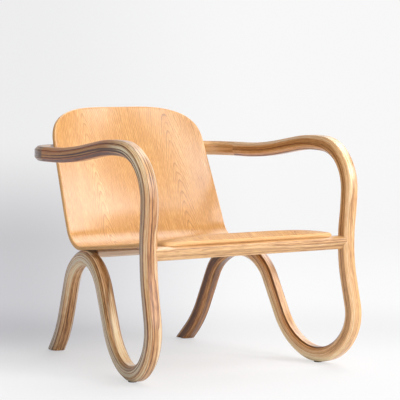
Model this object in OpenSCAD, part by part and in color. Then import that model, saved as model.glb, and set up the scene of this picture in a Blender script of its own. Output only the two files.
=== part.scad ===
// Lounge chair of bent laminated wood with a moulded plywood shell.
// X runs across the chair, +Y runs to the back and +Z up. The chair faces -Y.
// The origin is on the floor, midway between the two side frames.
// Each side frame is an arm, bent down into the front leg, and a leg loop that runs on
// from the front rail through the front foot and the rear arch to the rear foot.

/* [Overall] */
// Width over the front legs at the front rail
frame_width = 670; // [620:5:740]
// Height of the arms at their highest point
arm_height = 631; // [600:1:670]
// Height of the top edge of the backrest
back_height = 704; // [670:2:760]
// Height of the seat at its front edge
seat_height = 384; // [370:1:400]

/* [Side frames] */
// Thickness of the bent frame parts, both ways
frame_section = 41; // [38:0.5:46]
// Depth of the flattened corners of the frame section
frame_chamfer = 9.2; // [6:0.2:11]
// Turn of each leg loop towards the middle of the chair, in degrees
toe_in = 7.9; // [5:0.1:9]
// Outward lean of each arm from the front rail up, in degrees
arm_lean = 1; // [0:0.1:2]
// Distance from the front leg line back to the joint of each arm and its back corner
arm_length = 537; // [524:1:548]
// Distance from the front leg line to the end of the rear foot, along the loop
foot_reach = 689; // [664:1:704]

/* [Rails] */
// Height of the front rail
front_rail_height = 36; // [32:1:38]
// Depth of the front rail from front to back
front_rail_depth = 40; // [38:1:42]
// Height of the flat rear rail
rear_rail_height = 18; // [16:1:22]
// Depth of the flat rear rail
rear_rail_depth = 46; // [36:1:52]

/* [Shell] */
// Distance from the front leg line back to the corner between seat and backrest
seat_length = 506; // [496:1:514]
// Thickness of the moulded shell
shell_thickness = 11; // [9:0.5:12]
// Width of the backrest
back_width = 492; // [460:2:510]
// Width of the seat at the bend
bend_width = 522; // [500:2:536]
// Width of the seat at the front
seat_width = 544; // [520:2:556]
// Recline of the backrest from upright, in degrees
recline = 22.2; // [19:0.2:25]
// Hollow of the backrest across its top
back_hollow = 42; // [30:1:48]
// Radius of the bend between seat and backrest
bend_radius = 66; // [50:1:80]

/* [Joinery and feet] */
// Diameter of the main dowels
dowel_d = 16; // [12:1:18]
// Length of the main dowels
dowel_length = 60; // [48:2:70]
// Diameter of the rail dowels
rail_dowel_d = 10; // [8:1:10]
// Diameter of the screws that hold the shell
screw_d = 6; // [5:0.5:6]
// Diameter of the foot glides
glide_d = 24; // [18:1:28]
// Thickness of the foot glides
glide_t = 3; // [2:0.5:4]

/* [Hidden] */
$fn = 96;

// The front leg line: the middle of the front legs at the front rail.
leg_y = -334.2;

half = frame_section / 2;
side_x = (frame_width - frame_section) / 2;
seam_y = leg_y + arm_length;
seam_z = arm_height - 53;

// The front rail lies under the front edge of the shell.
rail_half = front_rail_height / 2;
rail_deep = front_rail_depth / 2;
front_rail_z = seat_height - shell_thickness - 11 - rail_half;
front_rail_y = leg_y - half + 1 + rail_deep;
joint_z = front_rail_z + 0.5;
seam_x = side_x + (seam_z - joint_z) * sin(arm_lean);

// Sitting surface of the shell, seen from the side along one long edge.
lip_fall = 60;
front_crown = 12;
bend_y = leg_y + seat_length;
bend_z = seat_height - 66.5;
hollow_y = leg_y + 136;
hollow_z = seat_height - 25;
top_z = back_height + back_hollow * sin(recline);
top_y = bend_y + (top_z - bend_z) * tan(recline);
end_y = front_rail_y - rail_deep + 0.3;
end_z = front_rail_z + rail_half + shell_thickness * cos(lip_fall) - 0.2;
crest_z = seat_height - front_crown + 3.4;
crest_y = end_y + (crest_z - end_z) / tan(lip_fall);
shell_line = [[top_y, top_z], [bend_y, bend_z], [hollow_y, hollow_z],
              [crest_y, crest_z], [end_y, end_z]];
shell_radii = [0, bend_radius, 480, 12, 0];

// Paths of the arm and of the leg loop, as corners and the radius of each bend.
arm_line = [[seam_y, seam_z], [leg_y + 406, seam_z], [leg_y + 170, arm_height - 17.5],
            [leg_y - 11.4, arm_height - 30.6], [leg_y - 9, joint_z + 103],
            [leg_y, joint_z + 40], [leg_y, joint_z - 2]];
arm_radii = [0, 1200, 538, 128, 580, 300, 0];
foot_lift = half + glide_t - 23.5;
function loop_corners(z) = [[leg_y, joint_z], [leg_y, joint_z - 57], [leg_y - 35, 135.6],
             [leg_y + 41.2, foot_lift - 17.2], [leg_y + 224.7, foot_lift + 60.4],
             [leg_y + 373.5, z], [leg_y + 539.7, z - 106], [leg_y + 623.3, 66.7],
             [leg_y + foot_reach, 0]];
loop_radii = [0, 425, 110, 139, 187, 138, 127, 309, 0];

// Length and direction of a step from a to b, in the plane of a path.
function span(a, b) = norm(b - a);
function heading(a, b) = atan2(b[1] - a[1], b[0] - a[0]);
function turn(v, i) = let (t = heading(v[i], v[i + 1]) - heading(v[i - 1], v[i]))
    t > 180 ? t - 360 : t < -180 ? t + 360 : t;

// Straight length that each bend takes up, cut down where two bends would meet.
function want(v, r, i) = (i == 0 || i == len(v) - 1) ? 0 : r[i] * tan(abs(turn(v, i)) / 2);
function room(v, r, i) = let (w = want(v, r, i) + want(v, r, i + 1))
    w > 0.97 * span(v[i], v[i + 1]) ? span(v[i], v[i + 1]) / w : 1;
function reach(v, r, i) = (i == 0 || i == len(v) - 1) ? 0
    : want(v, r, i) * min(room(v, r, i - 1), room(v, r, i));
function bend_r(v, r, i) = reach(v, r, i) / tan(abs(turn(v, i)) / 2);
function along(v, i, d) = v[i] + d * [cos(heading(v[i], v[i + 1])), sin(heading(v[i], v[i + 1]))];

// Frame section: a square with its corners flattened and the ridges eased.
function eased(h, c, e) = let (q = [[h - c - e, h], [h - c + e * 0.7, h - e * 0.7],
                                    [h - e * 0.7, h - c + e * 0.7], [h, h - c - e]])
    [for (k = [0:3], p = q) [p[0] * cos(-90 * k) - p[1] * sin(-90 * k),
                             p[0] * sin(-90 * k) + p[1] * cos(-90 * k)]];

section_points = eased(half, frame_chamfer, 1.6);

module frame_section_2d() {
    polygon(section_points);
}

// Stations along a path, each with its place and heading: both ends of every straight
// stretch, and a point every few degrees round each bend.
function bend_points(v, r, i, gap = 4.5) = let (t = turn(v, i), side = sign(t),
        h = heading(v[i - 1], v[i]), radius = bend_r(v, r, i),
        p = along(v, i - 1, span(v[i - 1], v[i]) - reach(v, r, i)),
        c = p + side * radius * [-sin(h), cos(h)], n = max(2, ceil(abs(t) / gap)))
    [for (k = [0:n]) let (g = h + t * k / n)
        [c[0] + side * radius * sin(g), c[1] - side * radius * cos(g), g]];
function stations(v, r) = let (last = len(v) - 1,
        all = concat([[v[0][0], v[0][1], heading(v[0], v[1])]],
            [for (i = [1:last - 1]) each bend_points(v, r, i)],
            [[v[last][0], v[last][1], heading(v[last - 1], v[last])]]))
    [for (k = [0:len(all) - 1]) if (k == 0 || norm([all[k][0] - all[k - 1][0],
        all[k][1] - all[k - 1][1]]) > 0.01) all[k]];

// Sweeps the frame section along a path that lies in XY.
module bent_bar(v, r) {
    way = stations(v, r);
    n = len(section_points);
    last = len(way) - 1;
    points = [for (w = way, q = section_points)
              [w[0] - sin(w[2]) * q[0], w[1] + cos(w[2]) * q[0], q[1]]];
    walls = [for (k = [0:last - 1], j = [0:n - 1]) let (a = k * n + j, b = k * n + (j + 1) % n)
             [a, b, b + n, a + n]];
    polyhedron(points, concat(walls, [[for (j = [n - 1:-1:0]) j],
                                      [for (j = [0:n - 1]) last * n + j]]));
}

// Stands a flat path up: its X becomes the chair's Y, its Y becomes Z.
module upright() {
    rotate([90, 0, 90]) children();
}

// Places the plane of a leg loop, turned about the front leg towards the middle.
module loop_plane(side) {
    translate([side * side_x, leg_y, 0]) rotate([0, 0, side * toe_in])
        translate([0, -leg_y, 0]) upright() children();
}

// Sagittal line of the shell by its length s from the top edge.
function pieces_of(v, r) = [for (i = [0:len(v) - 2]) each [
    [0, span(v[i], v[i + 1]) - reach(v, r, i) - reach(v, r, i + 1), i],
    if (i < len(v) - 2) [1, bend_r(v, r, i + 1) * abs(turn(v, i + 1)) * PI / 180, i + 1]]];
shell_pieces = pieces_of(shell_line, shell_radii);
function sums(p, k = 0, s = 0) = k == len(p) ? [s] : concat([s], sums(p, k + 1, s + p[k][1]));
shell_marks = sums(shell_pieces);
shell_length = shell_marks[len(shell_pieces)];

function shell_spot(s, k = 0) = (s <= shell_marks[k + 1] || k == len(shell_pieces) - 1)
    ? spot_on(shell_pieces[k], s - shell_marks[k]) : shell_spot(s, k + 1);
function spot_on(q, d) = q[0] == 0
    ? let (i = q[2], h = heading(shell_line[i], shell_line[i + 1]),
           p = along(shell_line, i, reach(shell_line, shell_radii, i) + d)) [p[0], p[1], h]
    : let (i = q[2], h = heading(shell_line[i - 1], shell_line[i]),
           radius = bend_r(shell_line, shell_radii, i), side = sign(turn(shell_line, i)),
           p = along(shell_line, i - 1, span(shell_line[i - 1], shell_line[i])
                     - reach(shell_line, shell_radii, i)),
           c = p + side * radius * [-sin(h), cos(h)], g = h + side * d / radius * 180 / PI)
      [c[0] + side * radius * sin(g), c[1] - side * radius * cos(g), g];

// Eases from one value to the next between the marks of a table.
function ease(t, s, k = 0) = s <= t[0][0] ? t[0][1]
    : k == len(t) - 1 ? t[k][1]
    : s < t[k + 1][0] ? let (f = (s - t[k][0]) / (t[k + 1][0] - t[k][0]), g = f * f * (3 - 2 * f))
        t[k][1] * (1 - g) + t[k + 1][1] * g
    : ease(t, s, k + 1);

bend_s = shell_marks[1] + (shell_marks[2] - shell_marks[1]) / 2;
seat_hollow = 4;
function hollow(s) = ease([[0, back_hollow], [0.75 * bend_s, 0.45 * back_hollow],
                           [1.08 * bend_s, seat_hollow], [0.8 * shell_length, seat_hollow],
                           [0.93 * shell_length, 0]], s);
// The front of the seat is crowned: its middle stands above its corners.
function crown(s) = ease([[0.8 * shell_length, 0], [shell_length - 42, front_crown],
                          [shell_length, 0]], s);
top_round = 130;
front_round = 60;
function plain_width(s) = ease([[0, back_width / 2], [bend_s, bend_width / 2],
                                [0.9 * shell_length, seat_width / 2]], s);
function shell_half(s) = plain_width(s) * (s < top_round
    ? pow(1 - pow(1 - s / top_round, 2.5), 1 / 3)
    : s > shell_length - front_round
    ? pow(1 - pow((s - shell_length + front_round) / front_round, 6), 1 / 6) : 1);

// A point of the shell: f runs from -1 to 1 across it, d is the depth below the surface.
function shell_point(s, f, d) = let (e = shell_spot(s), w = plain_width(s), x = f * shell_half(s),
        h = hollow(s), c = crown(s), m = [-sin(e[2]), cos(e[2])], u = x / w,
        k = (2 * h * u - 4 * c * u * u * u) / w, n = d / sqrt(1 + k * k),
        sag = h * (1 - u * u) - c * (1 - u * u * u * u) + n)
    [x + n * k, e[0] + m[0] * sag, e[1] + m[1] * sag];

// Rows of the shell: close together at the rounded ends and round the bends.
function steps(a, b, gap) = let (n = max(1, ceil((b - a) / gap))) [for (k = [1:n]) a + (b - a) * k / n];
top_rows = [for (k = [1:11]) top_round * (1 - pow(cos(8 * k + 1), 0.8))];
end_rows = [for (k = [8:-1:1]) shell_length - front_round * (1 - pow(cos(10 * k + 1), 1 / 3))];
shell_rows = concat(top_rows,
    steps(top_rows[10], shell_marks[1], 30), steps(shell_marks[1], shell_marks[2], 8),
    steps(shell_marks[2], end_rows[0] - 6, 26), end_rows);
shell_columns = 18;

module shell_solid() {
    n = len(shell_rows);
    m = shell_columns + 1;
    points = [for (d = [0, shell_thickness], s = shell_rows, j = [0:shell_columns])
              shell_point(s, 2 * j / shell_columns - 1, d)];
    under = n * m;
    skin = [for (i = [0:n - 2], j = [0:m - 2]) each let (a = i * m + j)
            [[a, a + 1, a + m], [a + 1, a + m + 1, a + m],
             [a + under, a + m + under, a + 1 + under],
             [a + 1 + under, a + m + under, a + m + 1 + under]]];
    sides = [for (i = [0:n - 2]) each let (a = i * m, b = i * m + m - 1)
             [[a, a + m, a + under], [a + m, a + m + under, a + under],
              [b, b + under, b + m], [b + m, b + under, b + m + under]]];
    ends = [for (j = [0:m - 2]) each let (a = j, b = (n - 1) * m + j)
            [[a, a + under, a + 1], [a + 1, a + under, a + 1 + under],
             [b, b + 1, b + under], [b + 1, b + 1 + under, b + under]]];
    polyhedron(points, concat(skin, sides, ends));
}

// Place along the shell where its long edge passes a given y on the seat, and where the
// back of the shell passes a given height on its centre line.
seat_fall = heading(shell_line[2], shell_line[1]);
function seat_s(y) = shell_marks[2] + (shell_spot(shell_marks[2])[0] - y) / cos(seat_fall);
function back_s(z) = let (h = hollow((top_z - z) / cos(recline)))
    (top_z - z - sin(recline) * (h + shell_thickness)) / cos(recline);

// Each arch of the leg loops carries the shell: its corner is raised until it seats.
arch_reach = 427;
arch_y = leg_y + arch_reach * cos(toe_in);
arch_x = side_x - arch_reach * sin(toe_in);
arch_touch = 0.3;
arch_slope = tan(-seat_fall);
arch_goal = shell_point(seat_s(arch_y), 1, shell_thickness)[2] - arch_touch
    - arch_slope * arch_slope * (loop_radii[5] + half) / 2;
function arch_top(z) = let (v = loop_corners(z), i = 5, h = heading(v[i - 1], v[i]),
        radius = bend_r(v, loop_radii, i),
        p = along(v, i - 1, span(v[i - 1], v[i]) - reach(v, loop_radii, i)))
    p[1] - radius * cos(h) + radius + half;
function settle(z, k) = k == 0 ? z : settle(z + arch_goal - arch_top(z), k - 1);
loop_line = loop_corners(settle(hollow_z - 6, 12));

// The back rail clears the shell by the ridge of its front face; wedge blocks fill the space.
rail_ridge = seam_z + half - frame_chamfer;
back_rail_y = shell_point(back_s(rail_ridge), 0, shell_thickness)[1] + half + 3.8;
corner_r = back_rail_y - seam_y;
corner_x = seam_x - corner_r;

module dowel(length, d) {
    edge = d * 0.09;
    rotate_extrude() polygon([[0, 0], [d / 2 - edge, 0], [d / 2, edge],
                              [d / 2, length - edge], [d / 2 - edge, length], [0, length]]);
}
module bore(d, length) {
    translate([0, 0, -1]) cylinder(d = d, h = length + 2);
}

// Axes of the main dowels: along Y at the seams, along X behind the back, upright in the legs.
module at_seam(side) {
    translate([side * seam_x, seam_y - dowel_length / 2, seam_z]) rotate([-90, 0, 0]) children();
}
module at_back(side) {
    translate([side * corner_x - dowel_length / 2, back_rail_y, seam_z])
        rotate([0, 90, 0]) children();
}
module at_leg(side) {
    translate([side * side_x, leg_y, joint_z - dowel_length / 2]) children();
}

// Rail dowels lie along X: one above and one below the joint of each front leg, and two
// side by side in each arch.
rail_dowel_length = 32;
rail_dowel_in = 12;
module at_front_rail(side) {
    for (z = [front_rail_z - 10, front_rail_z + 9])
        translate([side * (side_x - half + rail_dowel_in - rail_dowel_length / 2), leg_y, z])
            rotate([0, 90, 0]) translate([0, 0, -rail_dowel_length / 2]) children();
}
rear_dowel_d = 8;
rear_rail_top = shell_point(seat_s(arch_y), 0, shell_thickness)[2] - 0.3;
rear_rail_z = rear_rail_top - rear_rail_height / 2;
rear_rail_end = arch_x - half * cos(toe_in);
module at_rear_rail(side) {
    for (y = [-12, 12])
        translate([side * (rear_rail_end - 3), arch_y + y, rear_rail_z - 2])
            rotate([0, 90, 0]) translate([0, 0, -rail_dowel_length / 2]) children();
}

// Screws that hold the shell, each with its head let into the wood and its end in an
// insert in the shell: up through the front rail, up through each arch, and forward
// through the back rail.
insert_d = screw_d + 3;
insert_length = 7;
head_d = screw_d * 2;
head_h = screw_d * 0.6;
head_sink = head_h + 1.5;
front_screw_x = 150;
back_screw_x = 100;
screw_y = front_rail_y;
arch_screw_y = arch_y + 6;
arch_screw_x = side_x - (arch_screw_y - leg_y) * tan(toe_in);
function under_front(x, y) = lookup(y, [for (k = [0:42])
    let (s = shell_length - 150 + 3 * k, p = shell_point(s, x / shell_half(s), shell_thickness))
    [p[1], p[2]]]);
front_insert_z = under_front(front_screw_x, screw_y) + 0.6;
arch_insert_z = shell_point(seat_s(arch_screw_y), 1, shell_thickness)[2] + 0.3;
rail_back_y = back_rail_y + half;
function back_under(x, z = seam_z) = shell_point(back_s(z), x / shell_half(back_s(z)),
    shell_thickness);
back_insert_y = back_under(back_screw_x)[1] - 0.3;

module at_front_screw(side) {
    translate([side * front_screw_x, screw_y, front_rail_z - rail_half]) children();
}
module at_arch_screw(side) {
    translate([side * arch_screw_x, arch_screw_y, arch_goal - 2 * half]) children();
}
module at_back_screw(side) {
    translate([side * back_screw_x, rail_back_y, seam_z]) rotate([90, 0, 0]) children();
}
front_hole = front_insert_z - front_rail_z + rail_half;
arch_hole = arch_insert_z - arch_goal + 2 * half;
back_hole = rail_back_y - back_insert_y;

// A bore for a screw of a given depth to the shell, with room for its head.
module screw_bore(depth) {
    translate([0, 0, -12]) cylinder(d = head_d + 1.2, h = 12 + head_sink);
    cylinder(d = screw_d + 0.6, h = depth + 4);
}
module screw(depth) {
    translate([0, 0, head_sink - head_h]) difference() {
        rotate_extrude() polygon([[0, 0], [head_d / 2 - 0.8, 0], [head_d / 2, 0.8],
            [head_d / 2, head_h - 0.01], [screw_d / 2, head_h - 0.01],
            [screw_d / 2, depth + insert_length - 1 - head_sink + head_h], [0, depth
            + insert_length - 1 - head_sink + head_h]]);
        translate([0, 0, -0.1]) cylinder(d = screw_d * 0.72, h = head_h * 0.62, $fn = 6);
    }
}
module insert_ring() {
    difference() {
        cylinder(d = insert_d, h = insert_length);
        translate([0, 0, -1]) cylinder(d = screw_d, h = insert_length + 2);
    }
}
module shell_screws_place() {
    for (side = [-1, 1]) {
        at_front_screw(side) translate([0, 0, front_hole]) children();
        at_arch_screw(side) translate([0, 0, arch_hole]) children();
        at_back_screw(side) translate([0, 0, back_hole]) children();
    }
}

module arm_bar(side) {
    translate([side * side_x, 0, joint_z]) rotate([0, side * arm_lean, 0])
        translate([0, 0, -joint_z]) upright() bent_bar(arm_line, arm_radii);
}
module loop_bar(side) {
    loop_plane(side) bent_bar(loop_line, loop_radii);
}

// The arm ends level at the joint in the front leg.
module arm(side) {
    color("BurlyWood") difference() {
        arm_bar(side);
        translate([side * side_x - frame_section, leg_y - frame_section, joint_z - 20])
            cube([2 * frame_section, 2 * frame_section, 20]);
        at_seam(side) bore(dowel_d, dowel_length);
        at_leg(side) bore(dowel_d, dowel_length);
        at_front_rail(side) bore(rail_dowel_d, rail_dowel_length);
    }
}
module arm_right() { arm(-1); }
module arm_left() { arm(1); }

// The loop is cut level above the floor, where its feet take the glides.
module leg_loop(side) {
    color("BurlyWood") difference() {
        loop_bar(side);
        translate([-frame_width, -frame_width, -100])
            cube([2 * frame_width, 2 * frame_width, 100 + glide_t]);
        at_leg(side) bore(dowel_d, dowel_length);
        at_front_rail(side) bore(rail_dowel_d, rail_dowel_length);
        at_rear_rail(side) bore(rear_dowel_d, rail_dowel_length);
        at_arch_screw(side) screw_bore(arch_hole);
        for (foot = foot_places) at_foot(side, foot) glide_pin(0.1);
    }
}
module leg_loop_right() { leg_loop(-1); }
module leg_loop_left() { leg_loop(1); }

module back_corner(side) {
    color("Tan") difference() {
        translate([side * corner_x, seam_y, seam_z]) rotate([0, 0, side > 0 ? 0 : 90])
            rotate_extrude(angle = 90) translate([corner_r, 0]) frame_section_2d();
        at_seam(side) bore(dowel_d, dowel_length);
        at_back(side) bore(dowel_d, dowel_length);
    }
}
module back_corner_right() { back_corner(-1); }
module back_corner_left() { back_corner(1); }

module back_rail() {
    color("BurlyWood") difference() {
        translate([-corner_x, back_rail_y, seam_z]) rotate([90, 0, 90])
            linear_extrude(2 * corner_x) frame_section_2d();
        for (side = [-1, 1]) {
            at_back(side) bore(dowel_d, dowel_length);
            at_back_screw(side) screw_bore(back_hole);
        }
    }
}

// The stretch of each front leg that the front rail meets, straight above and below the joint.
cope_gap = 0.2;
module leg_cope(side) {
    translate([side * side_x, leg_y, joint_z]) {
        rotate([0, side * arm_lean, 0]) translate([0, 0, -1]) linear_extrude(61)
            offset(delta = cope_gap) frame_section_2d();
        rotate([0, 0, side * toe_in]) translate([0, 0, -60]) linear_extrude(60.2)
            offset(delta = cope_gap) frame_section_2d();
    }
}

// Front rail, coped round the inner side of each front leg. Its front face is narrow, with
// a shallow slope above and a deep one below.
module front_rail() {
    d = rail_deep;
    h = rail_half;
    color("BurlyWood") difference() {
        translate([-side_x + 12, front_rail_y, front_rail_z]) rotate([90, 0, 90])
            linear_extrude(2 * side_x - 24)
                polygon([[-d, h - 16], [-d, h - 6], [11 - d, h], [d - 11, h], [d, h - 6],
                         [d, h - 16], [d - 13, -h], [13 - d, -h]]);
        for (side = [-1, 1]) {
            leg_cope(side);
            at_front_rail(side) bore(rail_dowel_d, rail_dowel_length);
            at_front_screw(side) screw_bore(front_hole);
        }
    }
}

// Blocks that fill the space between the front rail and the shell.
front_block_w = 32;
front_block_half = rail_deep - 13;
module front_blocks() {
    x = front_screw_x;
    y = front_rail_y;
    w = front_block_half;
    tilt = atan((under_front(x + 8, y) - under_front(x - 8, y)) / 16);
    color("Peru") for (side = [-1, 1]) difference() {
        translate([side * x, 0, under_front(x, y)]) rotate([0, -side * tilt, 0])
            rotate([90, 0, 90]) linear_extrude(front_block_w, center = true)
                polygon(concat([[y - w, -40], [y + w, -40]], [for (k = [4:-1:-4])
                    [y + w * k / 4, under_front(x, y + w * k / 4) - under_front(x, y) - 0.3]]));
        translate([side * x - 100, y - 100, front_rail_z + rail_half - 200]) cube(200);
        at_front_screw(side) screw_bore(front_hole);
    }
}

// Flat rear rail between the arches, close under the shell.
module rear_rail() {
    edge = 4;
    w = rear_rail_depth / 2;
    h = rear_rail_height / 2;
    color("BurlyWood") difference() {
        translate([-rear_rail_end - 14, arch_y, rear_rail_z]) rotate([90, 0, 90])
            linear_extrude(2 * rear_rail_end + 28) rotate([0, 0, seat_fall])
                polygon([[-w, -h + edge], [-w + edge, -h], [w - edge, -h], [w, -h + edge],
                         [w, h - edge], [w - edge, h], [-w + edge, h], [-w, h - edge]]);
        for (side = [-1, 1]) {
            translate([side * side_x, leg_y, 0]) rotate([0, 0, side * toe_in])
                translate([side > 0 ? -half : half - 100, 0, 0]) cube([100, 900, 500]);
            at_rear_rail(side) bore(rear_dowel_d, rail_dowel_length);
        }
    }
}

// Moulded shell, with a bored seat for each insert.
module seat_shell() {
    color("SandyBrown") difference() {
        shell_solid();
        shell_screws_place() translate([0, 0, -2]) cylinder(d = insert_d, h = insert_length + 2);
    }
}

// Wedge-shaped blocks that fill the space between the back rail and the shell.
block_w = 56;
module back_block(side) {
    h = half - frame_chamfer - 2;
    u = back_under(back_screw_x);
    lean = (back_under(back_screw_x, seam_z + h)[1] - back_under(back_screw_x, seam_z - h)[1])
        / (back_under(back_screw_x, seam_z + h)[2] - back_under(back_screw_x, seam_z - h)[2]);
    front = u[1] + 0.6;
    twist = atan(2 * hollow(back_s(seam_z)) * back_screw_x / pow(plain_width(back_s(seam_z)), 2));
    color("Peru") difference() {
        translate([side * back_screw_x, front, seam_z]) rotate([0, 0, -side * twist])
            rotate([90, 0, 90]) linear_extrude(block_w, center = true)
                polygon([[-h * lean - 0.2, -h], [60, -h], [60, h], [h * lean - 0.2, h]]);
        translate([-frame_width, back_rail_y - half, seam_z - 100])
            cube([2 * frame_width, 200, 200]);
        at_back_screw(side) {
            screw_bore(back_hole);
            translate([0, 0, back_hole - 0.2]) cylinder(d = insert_d + 0.2, h = 20);
        }
    }
}
module back_block_right() { back_block(-1); }
module back_block_left() { back_block(1); }

// Fasteners.
module seam_dowels() {
    color("Wheat") for (side = [-1, 1]) at_seam(side) dowel(dowel_length, dowel_d);
}
module back_dowels() {
    color("Wheat") for (side = [-1, 1]) at_back(side) dowel(dowel_length, dowel_d);
}
module leg_dowels() {
    color("Wheat") for (side = [-1, 1]) at_leg(side) dowel(dowel_length, dowel_d);
}
module front_rail_dowels() {
    color("Wheat") for (side = [-1, 1]) at_front_rail(side) dowel(rail_dowel_length, rail_dowel_d);
}
module rear_rail_dowels() {
    color("Wheat") for (side = [-1, 1]) at_rear_rail(side) dowel(rail_dowel_length, rear_dowel_d);
}
module front_screws() {
    color("Silver") for (side = [-1, 1]) at_front_screw(side) screw(front_hole);
}
module arch_screws() {
    color("Silver") for (side = [-1, 1]) at_arch_screw(side) screw(arch_hole);
}
module back_screws() {
    color("Silver") for (side = [-1, 1]) at_back_screw(side) screw(back_hole);
}
module shell_inserts() {
    color("Goldenrod") shell_screws_place() insert_ring();
}

// Foot glides: a disc under each foot with a pin up into the wood. The front one lies under
// the lowest point of the loop's front bend.
front_foot = let (v = loop_line, h = heading(v[2], v[3]),
    start = along(v, 2, span(v[2], v[3]) - reach(v, loop_radii, 3)))
    start[0] - bend_r(v, loop_radii, 3) * sin(h);
rear_foot = loop_line[8][0] - 2;
foot_places = [front_foot, rear_foot];
module at_foot(side, y) {
    loop_plane(side) translate([y, 0, 0]) rotate([-90, 0, 0]) children();
}
module glide_pin(extra = 0) {
    translate([0, 0, 1]) cylinder(d = 5 + extra, h = glide_t + 13 + extra);
}
module foot_glides() {
    color("DimGray") for (side = [-1, 1], y = foot_places) at_foot(side, y) {
        rotate_extrude() polygon([[0, 0], [glide_d / 2 - 1, 0], [glide_d / 2, 1],
            [glide_d / 2, glide_t], [2.5, glide_t], [2.5, glide_t + 14], [0, glide_t + 14]]);
    }
}

arm_right();
arm_left();
leg_loop_right();
leg_loop_left();
back_corner_right();
back_corner_left();
back_rail();
front_rail();
rear_rail();
seat_shell();
back_block_right();
back_block_left();
front_blocks();
seam_dowels();
back_dowels();
leg_dowels();
front_rail_dowels();
rear_rail_dowels();
front_screws();
arch_screws();
back_screws();
shell_inserts();
foot_glides();
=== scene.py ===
"""Lounge chair: bent laminated side frames and rails round a moulded plywood shell.

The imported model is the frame. The bent and the moulded pieces are drawn again here with
finer bends, eased ridges and a grain direction of their own; the small fittings stay as
they were packed and only take a finish. All sizes are in millimetres until the meshes are
made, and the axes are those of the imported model.
"""

from __future__ import annotations

import logging
import math
from dataclasses import dataclass
from enum import Enum
from typing import Callable, Sequence, Union

import bpy
import numpy as np
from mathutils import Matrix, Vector

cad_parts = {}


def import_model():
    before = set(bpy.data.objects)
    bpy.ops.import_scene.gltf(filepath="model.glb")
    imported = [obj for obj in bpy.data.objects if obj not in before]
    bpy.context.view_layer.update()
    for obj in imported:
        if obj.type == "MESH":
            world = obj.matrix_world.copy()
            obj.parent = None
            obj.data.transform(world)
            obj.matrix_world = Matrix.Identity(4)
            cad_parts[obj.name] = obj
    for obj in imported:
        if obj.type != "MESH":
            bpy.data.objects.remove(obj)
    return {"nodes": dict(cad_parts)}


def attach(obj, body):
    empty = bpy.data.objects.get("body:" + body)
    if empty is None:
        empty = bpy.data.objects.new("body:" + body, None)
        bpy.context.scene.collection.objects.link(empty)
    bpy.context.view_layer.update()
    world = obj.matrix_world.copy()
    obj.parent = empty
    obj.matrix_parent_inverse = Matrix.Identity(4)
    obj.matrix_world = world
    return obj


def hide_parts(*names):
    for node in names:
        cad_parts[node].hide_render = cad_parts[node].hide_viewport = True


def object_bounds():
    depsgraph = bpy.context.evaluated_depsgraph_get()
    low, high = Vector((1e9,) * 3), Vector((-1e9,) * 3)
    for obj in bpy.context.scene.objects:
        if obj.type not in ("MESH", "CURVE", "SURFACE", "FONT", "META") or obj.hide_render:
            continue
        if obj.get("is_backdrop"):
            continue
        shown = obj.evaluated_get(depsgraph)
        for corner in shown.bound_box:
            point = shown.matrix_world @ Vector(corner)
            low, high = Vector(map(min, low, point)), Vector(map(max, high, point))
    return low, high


LOG = logging.getLogger("lounge_chair")
MM = 0.001
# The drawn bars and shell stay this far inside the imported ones, in millimetres.
INSIDE = 0.08
# Length of grain set aside for each number of Batch, in millimetres.
BAR_GRAIN = 5000.0
SMOOTH = "SMOOTHSTEP"
Point = tuple[float, float]
Pair = tuple[float, float]
Fade = tuple[float, float, float, float]
Stops = tuple[tuple[float, str], ...]
Placing = Callable[[np.ndarray, np.ndarray, np.ndarray], np.ndarray]
Input = Union[float, tuple[float, ...], bpy.types.Node, bpy.types.NodeSocket]
Inputs = Union[Sequence[Input], dict[Union[int, str], Input]]


class Side(Enum):
    """The two sides of the chair, by the sign of X."""

    RIGHT = -1
    LEFT = 1


class Batch(Enum):
    """Number of each bar, so that every bar has a grain of its own."""

    SIDE_RIGHT = 2
    SIDE_LEFT = 4
    CORNER_RIGHT = 10
    CORNER_LEFT = 12
    BACK_RAIL = 14
    FRONT_RAIL = 16
    REAR_RAIL = 18


class Slot(Enum):
    """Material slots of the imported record."""

    FRAME = "frame_laminated_wood"
    SHELL = "shell_plywood"
    DOWEL = "dowel_beech"
    SCREW = "screw_steel"
    INSERT = "insert_brass"
    GLIDE = "glide_plastic"


# Sizes


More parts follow.
